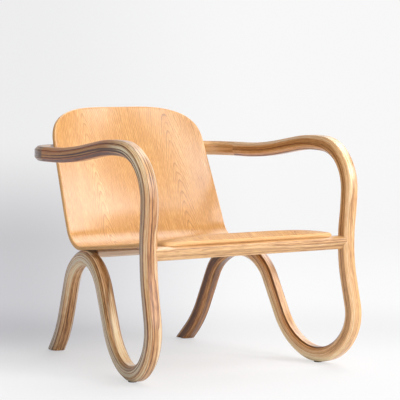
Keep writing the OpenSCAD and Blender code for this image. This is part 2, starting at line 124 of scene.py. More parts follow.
@dataclass(frozen=True)
class ChairSize:
    """Sizes of the chair, with the names and values of the part's source."""

    back_rail_y: float
    rear_rail_z: float
    frame_width: float = 670.0
    arm_height: float = 631.0
    back_height: float = 704.0
    seat_height: float = 384.0
    frame_section: float = 41.0
    frame_chamfer: float = 9.2
    toe_in: float = 7.9
    arm_lean: float = 1.0
    arm_length: float = 537.0
    foot_reach: float = 689.0
    front_rail_height: float = 36.0
    front_rail_depth: float = 40.0
    rear_rail_height: float = 18.0
    rear_rail_depth: float = 46.0
    seat_length: float = 506.0
    shell_thickness: float = 11.0
    back_width: float = 492.0
    bend_width: float = 522.0
    seat_width: float = 544.0
    recline: float = 22.2
    back_hollow: float = 42.0
    bend_radius: float = 66.0
    glide_t: float = 3.0
    leg_y: float = -334.2
    arch_reach: float = 427.0
    # The part's source raises this corner of the loop until the arch seats under the shell.
    arch_corner_z: float = 354.402

    @classmethod
    def of_frame(cls, nodes: dict[str, bpy.types.Object]) -> "ChairSize":
        """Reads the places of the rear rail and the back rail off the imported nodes.

        Args:
            nodes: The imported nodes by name.

        Returns:
            The sizes.
        """
        middles = []
        for name in ("back_rail", "rear_rail"):
            node = nodes[name]
            corners = [node.matrix_world @ Vector(corner) for corner in node.bound_box]
            middles.append(sum(corners, Vector()) / len(corners) / MM)
        return cls(back_rail_y=middles[0].y, rear_rail_z=middles[1].z)

    @property
    def half(self) -> float:
        """Half the thickness of the frame section."""
        return self.frame_section / 2

    @property
    def side_x(self) -> float:
        """Distance of each side frame from the middle plane at the front rail."""
        return (self.frame_width - self.frame_section) / 2

    @property
    def seam_y(self) -> float:
        """Y of the joint between arm and back corner."""
        return self.leg_y + self.arm_length

    @property
    def seam_z(self) -> float:
        """Height of the middle of the arms at the back."""
        return self.arm_height - 53

    @property
    def front_rail_z(self) -> float:
        """Height of the middle of the front rail."""
        return self.seat_height - self.shell_thickness - 11 - self.front_rail_height / 2

    @property
    def front_rail_y(self) -> float:
        """Y of the middle of the front rail."""
        return self.leg_y - self.half + 1 + self.front_rail_depth / 2

    @property
    def joint_z(self) -> float:
        """Height of the joint in each front leg."""
        return self.front_rail_z + 0.5

    @property
    def seam_x(self) -> float:
        """Distance of the arm seams from the middle plane."""
        return self.side_x + (self.seam_z - self.joint_z) * math.sin(math.radians(self.arm_lean))

    @property
    def arch_y(self) -> float:
        """Y of the arches of the leg loops, and of the rear rail between them."""
        return self.leg_y + self.arch_reach * math.cos(math.radians(self.toe_in))

    @property
    def rear_rail_end(self) -> float:
        """Distance from the middle plane to each end of the rear rail."""
        toe = math.radians(self.toe_in)
        return self.side_x - self.arch_reach * math.sin(toe) - self.half * math.cos(toe)

    @property
    def corner_r(self) -> float:
        """Radius of the back corners along their middle line."""
        return self.back_rail_y - self.seam_y

    @property
    def corner_x(self) -> float:
        """Distance of the centre of each back corner from the middle plane."""
        return self.seam_x - self.corner_r


# Paths and sections


@dataclass(frozen=True)
class BentPath:
    """A flat path with a radius at each inner corner."""

    corners: tuple[Point, ...]
    radii: tuple[float, ...]

    def _heading(self, i: int) -> float:
        """Direction of one leg of the path.

        Args:
            i: Number of the leg.

        Returns:
            The heading in degrees.
        """
        (a, b), (c, d) = self.corners[i], self.corners[i + 1]
        return math.degrees(math.atan2(d - b, c - a))

    def _span(self, i: int) -> float:
        """Length of one leg of the path between its corners.

        Args:
            i: Number of the leg.

        Returns:
            The length in millimetres.
        """
        return math.dist(self.corners[i], self.corners[i + 1])

    def turn(self, i: int) -> float:
        """Angle by which the path turns at a corner.

        Args:
            i: Number of the corner.

        Returns:
            The turn in degrees, positive to the left.
        """
        return (self._heading(i) - self._heading(i - 1) + 180) % 360 - 180

    def _want(self, i: int) -> float:
        """Straight length that a bend would take on each side of its corner.

        Args:
            i: Number of the corner.

        Returns:
            The length in millimetres, 0 at the ends of the path.
        """
        if i in (0, len(self.corners) - 1):
            return 0.0
        return self.radii[i] * math.tan(math.radians(abs(self.turn(i)) / 2))

    def reach(self, i: int) -> float:
        """Straight length that a bend takes, cut down where two bends would meet.

        Args:
            i: Number of the corner.

        Returns:
            The length in millimetres.
        """
        if i in (0, len(self.corners) - 1):
            return 0.0
        shares = []
        for j in (i - 1, i):
            both = self._want(j) + self._want(j + 1)
            shares.append(self._span(j) / both if both > 0.97 * self._span(j) else 1.0)
        return self._want(i) * min(shares)

    def radius(self, i: int) -> float:
        """Radius that a bend has after it was cut down.

        Args:
            i: Number of the corner.

        Returns:
            The radius in millimetres.
        """
        return self.reach(i) / math.tan(math.radians(abs(self.turn(i)) / 2))

    def stretches(self) -> list[tuple[bool, float, int]]:
        """The straight stretches and bends in order.

        Returns:
            For each one: whether it is a bend, its length, and its leg or corner number.
        """
        made: list[tuple[bool, float, int]] = []
        last = len(self.corners) - 1
        for i in range(last):
            made.append((False, self._span(i) - self.reach(i) - self.reach(i + 1), i))
            if i + 1 < last:
                made.append((True, self.radius(i + 1) * math.radians(abs(self.turn(i + 1))), i + 1))
        return made

    def spot(self, stretch: tuple[bool, float, int], d: float) -> tuple[float, float, float]:
        """A place on one stretch of the path.

        Args:
            stretch: One entry of stretches().
            d: Distance from the start of the stretch.

        Returns:
            The two coordinates and the heading in degrees.
        """
        bend, _, i = stretch
        if not bend:
            h = math.radians(self._heading(i))
            go = self.reach(i) + d
            a, b = self.corners[i]
            return a + go * math.cos(h), b + go * math.sin(h), math.degrees(h)
        h = self._heading(i - 1)
        side = math.copysign(1.0, self.turn(i))
        r = self.radius(i)
        go = self._span(i - 1) - self.reach(i)
        a = self.corners[i - 1][0] + go * math.cos(math.radians(h))
        b = self.corners[i - 1][1] + go * math.sin(math.radians(h))
        ca = a - side * r * math.sin(math.radians(h))
        cb = b + side * r * math.cos(math.radians(h))
        g = h + side * math.degrees(d / r)
        return (
            ca + side * r * math.sin(math.radians(g)),
            cb - side * r * math.cos(math.radians(g)),
            g,
        )

    def stations(self, gap: float = 5.0, straight_gap: float = 60.0) -> np.ndarray:
        """Evenly set stations for a sweep.

        Args:
            gap: Longest step round a bend.
            straight_gap: Longest step on a straight stretch.

        Returns:
            One row per station: both coordinates, the heading in degrees, and the length so far.
        """
        rows: list[tuple[float, float, float, float]] = []
        done = 0.0
        for part in self.stretches():
            bend, length, _ = part
            if length > 1e-6:
                n = max(1, math.ceil(length / (gap if bend else straight_gap)))
                for k in range(n + 1):
                    if rows and k == 0:
                        continue
                    rows.append((*self.spot(part, length * k / n), done + length * k / n))
            done += length
        return np.array(rows)


@dataclass(frozen=True)
class Outline:
    """A convex section outline with eased ridges: points and their outward normals."""

    points: np.ndarray
    normals: np.ndarray

    @staticmethod
    def eased(corners: Sequence[Point], ease: float, parts: int = 4) -> "Outline":
        """Rounds every corner of a convex polygon.

        Args:
            corners: Corners of the polygon, anticlockwise.
            ease: Radius of each ridge.
            parts: Number of steps round a ridge.

        Returns:
            The outline.
        """
        v = np.array(corners, float)
        points, normals = [], []
        for i in range(len(v)):
            before = v[i] - v[i - 1]
            after = v[(i + 1) % len(v)] - v[i]
            h0 = math.atan2(before[1], before[0])
            h1 = math.atan2(after[1], after[0])
            turn = (h1 - h0) % (2 * math.pi)
            r = min(ease, 0.45 * min(np.linalg.norm(before), np.linalg.norm(after)) / math.tan(turn / 2))
            start = v[i] - before / np.linalg.norm(before) * r * math.tan(turn / 2)
            centre = start + r * np.array([-math.sin(h0), math.cos(h0)])
            for k in range(parts + 1):
                g = h0 + turn * k / parts
                n = np.array([math.sin(g), -math.cos(g)])
                points.append(centre + r * n)
                normals.append(n)
        return Outline(np.array(points), np.array(normals))

    @staticmethod
    def octagon(half: float, chamfer: float, ease: float = 4.0) -> "Outline":
        """Section of the bent frame: a square with flattened, eased corners.

        Args:
            half: Half the thickness.
            chamfer: Depth of the flattened corners.
            ease: Radius of each ridge.

        Returns:
            The outline.
        """
        h, f = half, half - chamfer
        return Outline.eased(
            [(h, -f), (h, f), (f, h), (-f, h), (-h, f), (-h, -f), (-f, -h), (f, -h)], ease
        )


# Meshes


@dataclass
class MeshDraft:
    """Vertices, faces and grain coordinates of a mesh before it is made."""

    places: np.ndarray
    faces: list[tuple[int, ...]]
    grain: np.ndarray
    normals: np.ndarray | None = None

    def make(self, name: str) -> bpy.types.Object:
        """Makes the object, with the grain coordinates as a point attribute.

        Args:
            name: Name of the piece.

        Returns:
            The new object, linked to the scene.
        """
        mesh = bpy.data.meshes.new(name)
        mesh.from_pydata([tuple(p * MM) for p in self.places], [], self.faces)
        mesh.update()
        mesh.validate()
        grain = mesh.attributes.new("grain", "FLOAT_VECTOR", "POINT")
        grain.data.foreach_set("vector", self.grain.astype(np.float32).ravel())
        mesh.polygons.foreach_set("use_smooth", [True] * len(mesh.polygons))
        if self.normals is not None:
            mesh.normals_split_custom_set_from_vertices([tuple(n) for n in self.normals])
        made = bpy.data.objects.new(name, mesh)
        bpy.context.scene.collection.objects.link(made)
        LOG.info("%s: %d faces", name, len(mesh.polygons))
        return made


def sweep(way: np.ndarray, outline: Outline, place: Placing, batch: Batch, before: float = 0.0) -> MeshDraft:
    """Sweeps an outline along stations.

    Args:
        way: Stations as BentPath.stations() gives them.
        outline: The section; its first axis is the left of the heading, its second the width.
        place: Turns plane coordinates and width into chair coordinates.
        batch: Number of the bar.
        before: Length of the bar that the grain has already run through.

    Returns:
        The draft, closed by a flat cap at each end.
    """
    head = np.radians(way[:, 2])
    n, w = outline.points[:, 0], outline.points[:, 1]
    a = way[:, 0, None] - np.sin(head)[:, None] * n[None]
    b = way[:, 1, None] + np.cos(head)[:, None] * n[None]
    wide = np.broadcast_to(w[None], a.shape)
    places = place(a, b, wide).reshape(-1, 3)
    na = -np.sin(head)[:, None] * outline.normals[None, :, 0]
    nb = np.cos(head)[:, None] * outline.normals[None, :, 0]
    nw = np.broadcast_to(outline.normals[None, :, 1], a.shape)
    tips = place(a + na, b + nb, wide + nw).reshape(-1, 3)
    normals = tips - places
    grain = np.stack(
        [
            np.broadcast_to(way[:, 3, None] + before + BAR_GRAIN * batch.value, a.shape),
            np.broadcast_to(n[None], a.shape),
            wide,
        ],
        -1,
    ).reshape(-1, 3)
    m, last = len(n), len(way) - 1
    faces: list[tuple[int, ...]] = []
    for k in range(last):
        for j in range(m):
            p, q = k * m + j, k * m + (j + 1) % m
            faces.append((p, q, q + m, p + m))
    ends = np.concatenate([places[:m], places[last * m :]])
    end_grain = np.concatenate([grain[:m], grain[last * m :]])
    base = len(places)
    faces.append(tuple(base + j for j in range(m - 1, -1, -1)))
    faces.append(tuple(base + m + j for j in range(m)))
    ahead = [
        place(np.array(r[0] + math.cos(h)), np.array(r[1] + math.sin(h)), np.array(0.0))
        - place(np.array(r[0]), np.array(r[1]), np.array(0.0))
        for r, h in ((way[0], head[0]), (way[last], head[last]))
    ]
    cap = np.concatenate([np.tile(-ahead[0], (m, 1)), np.tile(ahead[1], (m, 1))])
    normals = np.concatenate([normals, cap])
    normals /= np.linalg.norm(normals, axis=1)[:, None]
    places = np.concatenate([places, ends])
    grain = np.concatenate([grain, end_grain])
    # The outline runs the other way round once a placing mirrors it.
    p0, p1, p2 = places[0], places[1], places[m]
    if np.dot(np.cross(p1 - p0, p2 - p0), normals[0]) < 0:
        faces = [tuple(reversed(f)) for f in faces]
    return MeshDraft(places, faces, grain, normals)


# Finishes


def colour(code: str) -> tuple[float, float, float, float]:
    """Turns an sRGB hex code into linear values.

    Args:
        code: Six hex digits.

    Returns:
        Red, green, blue and alpha.
    """
    made = []
    for i in (0, 2, 4):
        c = int(code[i : i + 2], 16) / 255
        made.append(c / 12.92 if c <= 0.04045 else ((c + 0.055) / 1.055) ** 2.4)
    return made[0], made[1], made[2], 1.0


def add(
    tree: bpy.types.NodeTree, kind: str, inputs: Inputs = (), stops: Stops = (), **settings
) -> bpy.types.Node:
    """Adds a node, sets it up and fills its inputs.

    Args:
        tree: The node tree.
        kind: Type of the node, without the leading ShaderNode.
        inputs: The inputs in order, or by name or number. Each is a socket, a node, which
            stands for its first output, or a constant value.
        stops: Places from 0 to 1 on a colour ramp, each with its sRGB hex code.
        **settings: Properties of the node itself.

    Returns:
        The node.
    """
    node = tree.nodes.new("ShaderNode" + kind)
    for key, value in settings.items():
        setattr(node, key, value)
    if stops:
        marks = node.color_ramp.elements
        while len(marks) < len(stops):
            marks.new(0.5)
        for mark, (place, _) in zip(marks, stops):
            mark.position = place
        for mark, (_, code) in zip(marks, stops):
            mark.color = colour(code)
    for key, value in inputs.items() if isinstance(inputs, dict) else enumerate(inputs):
        if isinstance(value, bpy.types.Node):
            value = value.outputs[0]
        if isinstance(value, bpy.types.NodeSocket):
            tree.links.new(value, node.inputs[key])
        else:
            node.inputs[key].default_value = value
    return node


def new_material(name: str) -> tuple[bpy.types.Material, bpy.types.NodeTree]:
    """Makes an empty material.

    Args:
        name: Name of the material.

    Returns:
        The material and its node tree.
    """
    made = bpy.data.materials.new(name)
    made.use_nodes = True
    made.node_tree.nodes.clear()
    return made, made.node_tree


@dataclass(frozen=True)
class Mottle:
    """A soft random pattern, sized in millimetres along, through and across the grain."""

    along: float
    through: float
    across: float
    detail: float = 2.0
    rough: float = 0.5
    share: float = 1.0

    def draw(
        self, tree: bpy.types.NodeTree, place: Input, shift: Input = (0.0, 0.0, 0.0)
    ) -> bpy.types.Node:
        """Adds the pattern to a material.

        Args:
            tree: The node tree.
            place: Grain coordinates.
            shift: How far the pattern is moved, in its own cells.

        Returns:
            The pattern, about 0 to 1.
        """
        cells = (1 / self.along, 1 / self.through, 1 / self.across)
        scaled = add(tree, "VectorMath", (place, cells, shift), operation="MULTIPLY_ADD")
        inputs = {"Vector": scaled, "Scale": 1.0, "Detail": self.detail, "Roughness": self.rough}
        return add(tree, "TexNoise", inputs)


@dataclass(frozen=True)
class BarPlace:
    """Where a point lies in the bent frame, as values in one node tree.

    The length still holds the number of the bar, and along is the length without it. Three
    flags are 1 on the left side's bars, on the rails under the seat and on both side frames.
    """

    tree: bpy.types.NodeTree
    length: bpy.types.NodeSocket
    through: bpy.types.NodeSocket
    across: bpy.types.NodeSocket
    along: bpy.types.Node
    bar: bpy.types.Node
    left: bpy.types.Node
    rails: bpy.types.Node
    sides: bpy.types.Node

    @classmethod
    def of(cls, tree: bpy.types.NodeTree, grain: bpy.types.NodeSocket) -> "BarPlace":
        """Reads a point's place off the grain coordinates.

        Args:
            tree: The node tree.
            grain: Length with the number of the bar, depth and width.

        Returns:
            The place.
        """
        length, through, across = add(tree, "SeparateXYZ", (grain,)).outputs
        bar = add(tree, "Math", (length, BAR_GRAIN), operation="DIVIDE")
        bar = add(tree, "Math", (bar,), operation="FLOOR")
        # The start of a bar may round down to the number before it, which no other bar has.
        side = add(tree, "Math", (bar, Batch.SIDE_LEFT.value, 1.1), operation="COMPARE")
        corner = add(tree, "Math", (bar, Batch.CORNER_LEFT.value, 0.5), operation="COMPARE")
        return cls(
            tree,
            length,
            through,
            across,
            along=add(tree, "Math", (length, BAR_GRAIN), operation="MODULO"),
            bar=bar,
            left=add(tree, "Math", (side, corner), operation="MAXIMUM"),
            rails=add(tree, "Math", (bar, Batch.FRONT_RAIL.value - 0.5), operation="GREATER_THAN"),
            sides=add(tree, "Math", (bar, Batch.SIDE_LEFT.value + 0.5), operation="LESS_THAN"),
        )

    def on(self, batch: Batch, share: Input) -> bpy.types.Node:
        """Keeps a value to one bar.

        Args:
            batch: The bar.
            share: The value there.

        Returns:
            The value on the bar, 0 elsewhere.
        """
        inside = add(self.tree, "Math", (self.bar, batch.value, 0.5), operation="COMPARE")
        return add(self.tree, "Math", (inside, share), operation="MULTIPLY")

    def either(self, values: Pair) -> bpy.types.Node:
        """Picks between two values.

        Args:
            values: The values on the right and on the left frame.

        Returns:
            The value where the point lies.
        """
        right, left = values
        return add(self.tree, "Math", (self.left, left - right, right), operation="MULTIPLY_ADD")


@dataclass(frozen=True)
class LaminatedWood:
    """Glued-up laminations of pale wood under a satin lacquer.

    It gives the bent bars thin lines of changing tone that run along their sides and
    flattened corners, a plain face with fine grain inside and outside, and darker streaks.
    Sizes and places are in millimetres. A Fade holds where a change starts and ends, then
    the results there. A Pair holds the values on the right and the left frame, or, for
    foot_depth and streak_stop, where a change starts and ends.
    """

    # One lamination, and how far the laminations wander through a bar.
    lamination: float = 3.3
    wander: float = 7.0
    seed: float = 7.0
    drift: Mottle = Mottle(260.0, 60.0, 45.0, detail=1.0)
    lines: Mottle = Mottle(320.0, 2.2, 2.7, detail=3.0, rough=0.6, share=1.6)
    broad: Mottle = Mottle(210.0, 7.0, 14.0, share=0.4)
    flecks: Mottle = Mottle(22.0, 2.0, 2.0, detail=1.0, share=0.6)
    # Real pores are about a third as wide, and are drawn coarser so that they show.
    pores: Mottle = Mottle(9.0, 0.5, 0.5, detail=1.0)
    # Growth lines step this far from one lamination to the next, in their own cells.
    line_step: float = 7.3
    pore_fade: Fade = (0.62, 0.75, 0.0, 0.28)
    # Glue shows by the distance from the middle of a lamination, as a share of its thickness.
    glue_fade: Fade = (0.36, 0.48, 0.0, 0.5)
    # The tones of the laminations differ less near one face of a bar, and least on the others.
    show_fade: Fade = (-15.0, -5.0, 0.4, 1.15)
    least_show: float = 0.3
    # Each bar was cut from another board: the left frame is paler, warmer and quieter than
    # the right one, the right corner darker, and the rails are quiet too.
    board_tone: float = 0.54
    left_lift: float = 0.08
    rail_lift: float = -0.06
    corner_lift: float = -0.36
    # The left frame's bars are painted lighter along the face at the negative end of their width, the inner
    # side of arm and loop: painted light.
    inner_side_painted_light: Fade = (-19.0, -12.0, 0.1, 0.0)
    swing: float = 1.25
    quiet: float = -0.4
    rail_warmth: float = 0.5
    dull_share: float = 0.65
    # Each loop is painted paler round its foot, as painted light thrown up from the floor, and the left one
    # is painted darker behind, as painted shade below the seat.
    foot_start: Fade = (1020.0, 1200.0, 0.0, 1.0)
    foot_end: Pair = (1650.0, 1490.0)
    foot_fade: float = 250.0
    foot_painted_light: Pair = (0.34, 0.44)
    foot_depth: Pair = (-2.0, 12.0)
    foot_deep: Pair = (1.0, -0.3)
    rear_painted_shade: Fade = (1400.0, 1700.0, 0.0, -0.42)
    # One dark lamination runs along the middle of each arm, as the photograph shows. It is
    # thinner and redder on the left frame, and goes on round its loop.
    streak_start: Fade = (40.0, 80.0, 0.0, 1.0)
    streak_stop: Pair = (760.0, 880.0)
    streak_rest: Pair = (0.25, 0.8)
    streak_depth: Fade = (250.0, 620.0, 1.0, 14.0)
    streak_half: Fade = (30.0, 300.0, 0.4, 2.2)
    streak_share: Pair = (1.0, 0.4)
    streak_blur: Pair = (1.5, 0.7)
    streak_side: Fade = (15.0, 19.5, 0.0, 0.85)
    # The right arm's board is browner towards the back, and again in the front leg.
    brown_fades: tuple[Fade, ...] = (
        (340.0, 460.0, 1.0, 0.1),
        (520.0, 640.0, 0.0, 0.5),
        (850.0, 1050.0, 0.0, -0.25),
    )
    tones: Stops = (
        (0.0, "654226"),
        (0.25, "a2754a"),
        (0.5, "d2a873"),
        (0.75, "edc99a"),
        (1.0, "f8efcc"),
    )
    warm: str = "fff3e8"
    pore: str = "8d6645"
    glue: str = "6a462b"
    streak: str = "55341f"
    red_streak: str = "7c3c1e"
    brown: str = "c59158"
    dull: str = "efe3d2"
    gloss: Fade = (0.2, 0.8, 0.42, 0.34)
    relief: float = 0.06
    relief_depth: float = 0.3
    ior: float = 1.45
    lacquer: float = 0.6
    lacquer_roughness: float = 0.18

    def build(self) -> bpy.types.Material:
        """Makes the material.

        Returns:
            The material.
        """
        made, t = new_material("laminated_wood_satin")
        grain = add(t, "Attribute", attribute_name="grain", attribute_type="GEOMETRY").outputs["Vector"]
        at = BarPlace.of(t, grain)
        # The laminations drift slowly, so that their lines leave a face at a slant.
        drift = add(t, "Math", (self.drift.draw(t, grain), 0.5), operation="SUBTRACT")
        level = add(t, "Math", (drift, self.wander, at.through), operation="MULTIPLY_ADD")
        layer = add(t, "Math", (level, self.lamination), operation="DIVIDE")
        index = add(t, "Math", (layer,), operation="FLOOR")
        place = add(t, "CombineXYZ", (at.length, level, at.across))
        step = add(t, "Math", (index, self.line_step), operation="MULTIPLY")
        lines = self.lines.draw(t, place, add(t, "CombineXYZ", {1: step}))
        show = add(t, "MapRange", (at.through, *self.show_fade), interpolation_type=SMOOTH)
        show = add(t, "Math", (show, at.sides), operation="MULTIPLY")
        show = add(t, "Math", (show, self.least_show), operation="MAXIMUM")
        drawn = add(t, "CombineXYZ", (index, at.bar, self.seed))
        tone = add(t, "TexWhiteNoise", (drawn,), noise_dimensions="3D")
        value: Input = 0.0
        for pattern, share in (
            (tone, show),
            (lines, self.lines.share),
            (self.broad.draw(t, place), self.broad.share),
            (self.flecks.draw(t, place), self.flecks.share),
        ):
            swung = add(t, "Math", (pattern, 0.5), operation="SUBTRACT")
            value = add(t, "Math", (swung, share, value), operation="MULTIPLY_ADD")
        calm = add(t, "Math", (at.left, at.rails), operation="MAXIMUM")
        calm = add(t, "Math", (calm, self.quiet, self.swing), operation="MULTIPLY_ADD")
        value = add(t, "Math", (value, calm, self._board(at)), operation="MULTIPLY_ADD")
        base: Input = add(t, "ValToRGB", (value,), self.tones)
        warmth = add(t, "Math", (at.rails, self.rail_warmth), operation="MULTIPLY")
        warmth = add(t, "Math", (at.left, warmth), operation="MAXIMUM")
        pores = add(t, "MapRange", (self.pores.draw(t, place), *self.pore_fade), interpolation_type=SMOOTH)
        edge = add(t, "Math", (layer,), operation="FRACT")
        edge = add(t, "Math", (edge, 0.5), operation="SUBTRACT")
        edge = add(t, "Math", (edge,), operation="ABSOLUTE")
        glue = add(t, "MapRange", (edge, *self.glue_fade), interpolation_type=SMOOTH)
        glue = add(t, "Math", (glue, show), operation="MULTIPLY")
        reds = {0: at.left, 6: colour(self.streak), 7: colour(self.red_streak)}
        dark = add(t, "Mix", reds, data_type="RGBA").outputs[2]
        for share, tint, blend in (
            (warmth, colour(self.warm), "MULTIPLY"),
            (pores, colour(self.pore), "MIX"),
            (glue, colour(self.glue), "MIX"),
            (self._streak(at), dark, "MIX"),
            (self._brown(at), colour(self.brown), "MULTIPLY"),
            (at.on(Batch.REAR_RAIL, self.dull_share), colour(self.dull), "MIX"),
        ):
            layers = {0: share, 6: base, 7: tint}
            base = add(t, "Mix", layers, data_type="RGBA", blend_type=blend).outputs[2]
        bump = {"Strength": self.relief, "Distance": self.relief_depth * MM, "Height": lines}
        surface = {
            "Base Color": base,
            "Roughness": add(t, "MapRange", (lines, *self.gloss), interpolation_type=SMOOTH),
            "IOR": self.ior,
            "Normal": add(t, "Bump", bump),
            "Coat Weight": self.lacquer,
            "Coat Roughness": self.lacquer_roughness,
        }
        add(t, "OutputMaterial", (add(t, "BsdfPrincipled", surface),))
        return made

    def _board(self, at: BarPlace) -> bpy.types.Node:
        """Tone of the board that a bar was cut from, and of the zones along it, with painted light round
        each foot and painted shade below the seat behind the left loop.

        Args:
            at: The place in the frame.

        Returns:
            The middle of the tones there.
        """
        t = at.tree
        end = at.either(self.foot_end)
        last = add(t, "Math", (end, self.foot_fade), operation="ADD")
        low, high = self.foot_depth
        inner, outer = self.foot_deep[0], at.either(self.foot_deep)
        lift = at.either(self.foot_painted_light)
        # Painted light thrown up from the floor round each foot.
        zone = add(t, "MapRange", (at.along, end, last, lift, 0.0), interpolation_type=SMOOTH)
        for fade in ((at.along, *self.foot_start), (at.through, low, high, inner, outer)):
            share = add(t, "MapRange", fade, interpolation_type=SMOOTH)
            zone = add(t, "Math", (zone, share), operation="MULTIPLY")
        # Painted shade below the seat, behind the left loop.
        rear = add(t, "MapRange", (at.along, *self.rear_painted_shade), interpolation_type=SMOOTH)
        zone = add(t, "Math", (rear, at.left, zone), operation="MULTIPLY_ADD")
        # Painted light on the inner side of the left frame.
        edge = add(t, "MapRange", (at.across, *self.inner_side_painted_light), interpolation_type=SMOOTH)
        lift = at.on(Batch.CORNER_RIGHT, self.corner_lift)
        for flag, share in (
            (at.left, self.left_lift),
            (at.rails, self.rail_lift),
            (at.left, edge),
            (at.sides, zone),
        ):
            lift = add(t, "Math", (flag, share, lift), operation="MULTIPLY_ADD")
        return add(t, "Math", (lift, self.board_tone), operation="ADD")

    def _streak(self, at: BarPlace) -> bpy.types.Node:
        """Share of the dark lamination of each arm.

        Args:
            at: The place in the frame.

        Returns:
            The share.
        """
        t = at.tree
        heart = add(t, "MapRange", (at.along, *self.streak_depth), interpolation_type=SMOOTH)
        off = add(t, "Math", (at.through, heart), operation="SUBTRACT")
        off = add(t, "Math", (off,), operation="ABSOLUTE")
        half = add(t, "MapRange", (at.along, *self.streak_half), interpolation_type=SMOOTH)
        half = add(t, "Math", (half, at.either(self.streak_share)), operation="MULTIPLY")
        blur = add(t, "Math", (half, at.either(self.streak_blur)), operation="ADD")
        side = add(t, "Math", (at.across,), operation="ABSOLUTE")
        mask: Input = at.sides
        for fade in (
            (at.along, *self.streak_start),
            (at.along, *self.streak_stop, 1.0, at.either(self.streak_rest)),
            (off, half, blur, 1.0, 0.0),
            (side, *self.streak_side),
        ):
            share = add(t, "MapRange", fade, interpolation_type=SMOOTH)
            mask = add(t, "Math", (mask, share), operation="MULTIPLY")
        return mask

    def _brown(self, at: BarPlace) -> bpy.types.Node:
        """Share of the brown on the right arm.

        Args:
            at: The place in the frame.

        Returns:
            The share.
        """
        total: Input = 0.0
        for fade in self.brown_fades:
            share = add(at.tree, "MapRange", (at.along, *fade), interpolation_type=SMOOTH)
            total = add(at.tree, "Math", (total, share), operation="ADD")
        return at.on(Batch.SIDE_RIGHT, total)


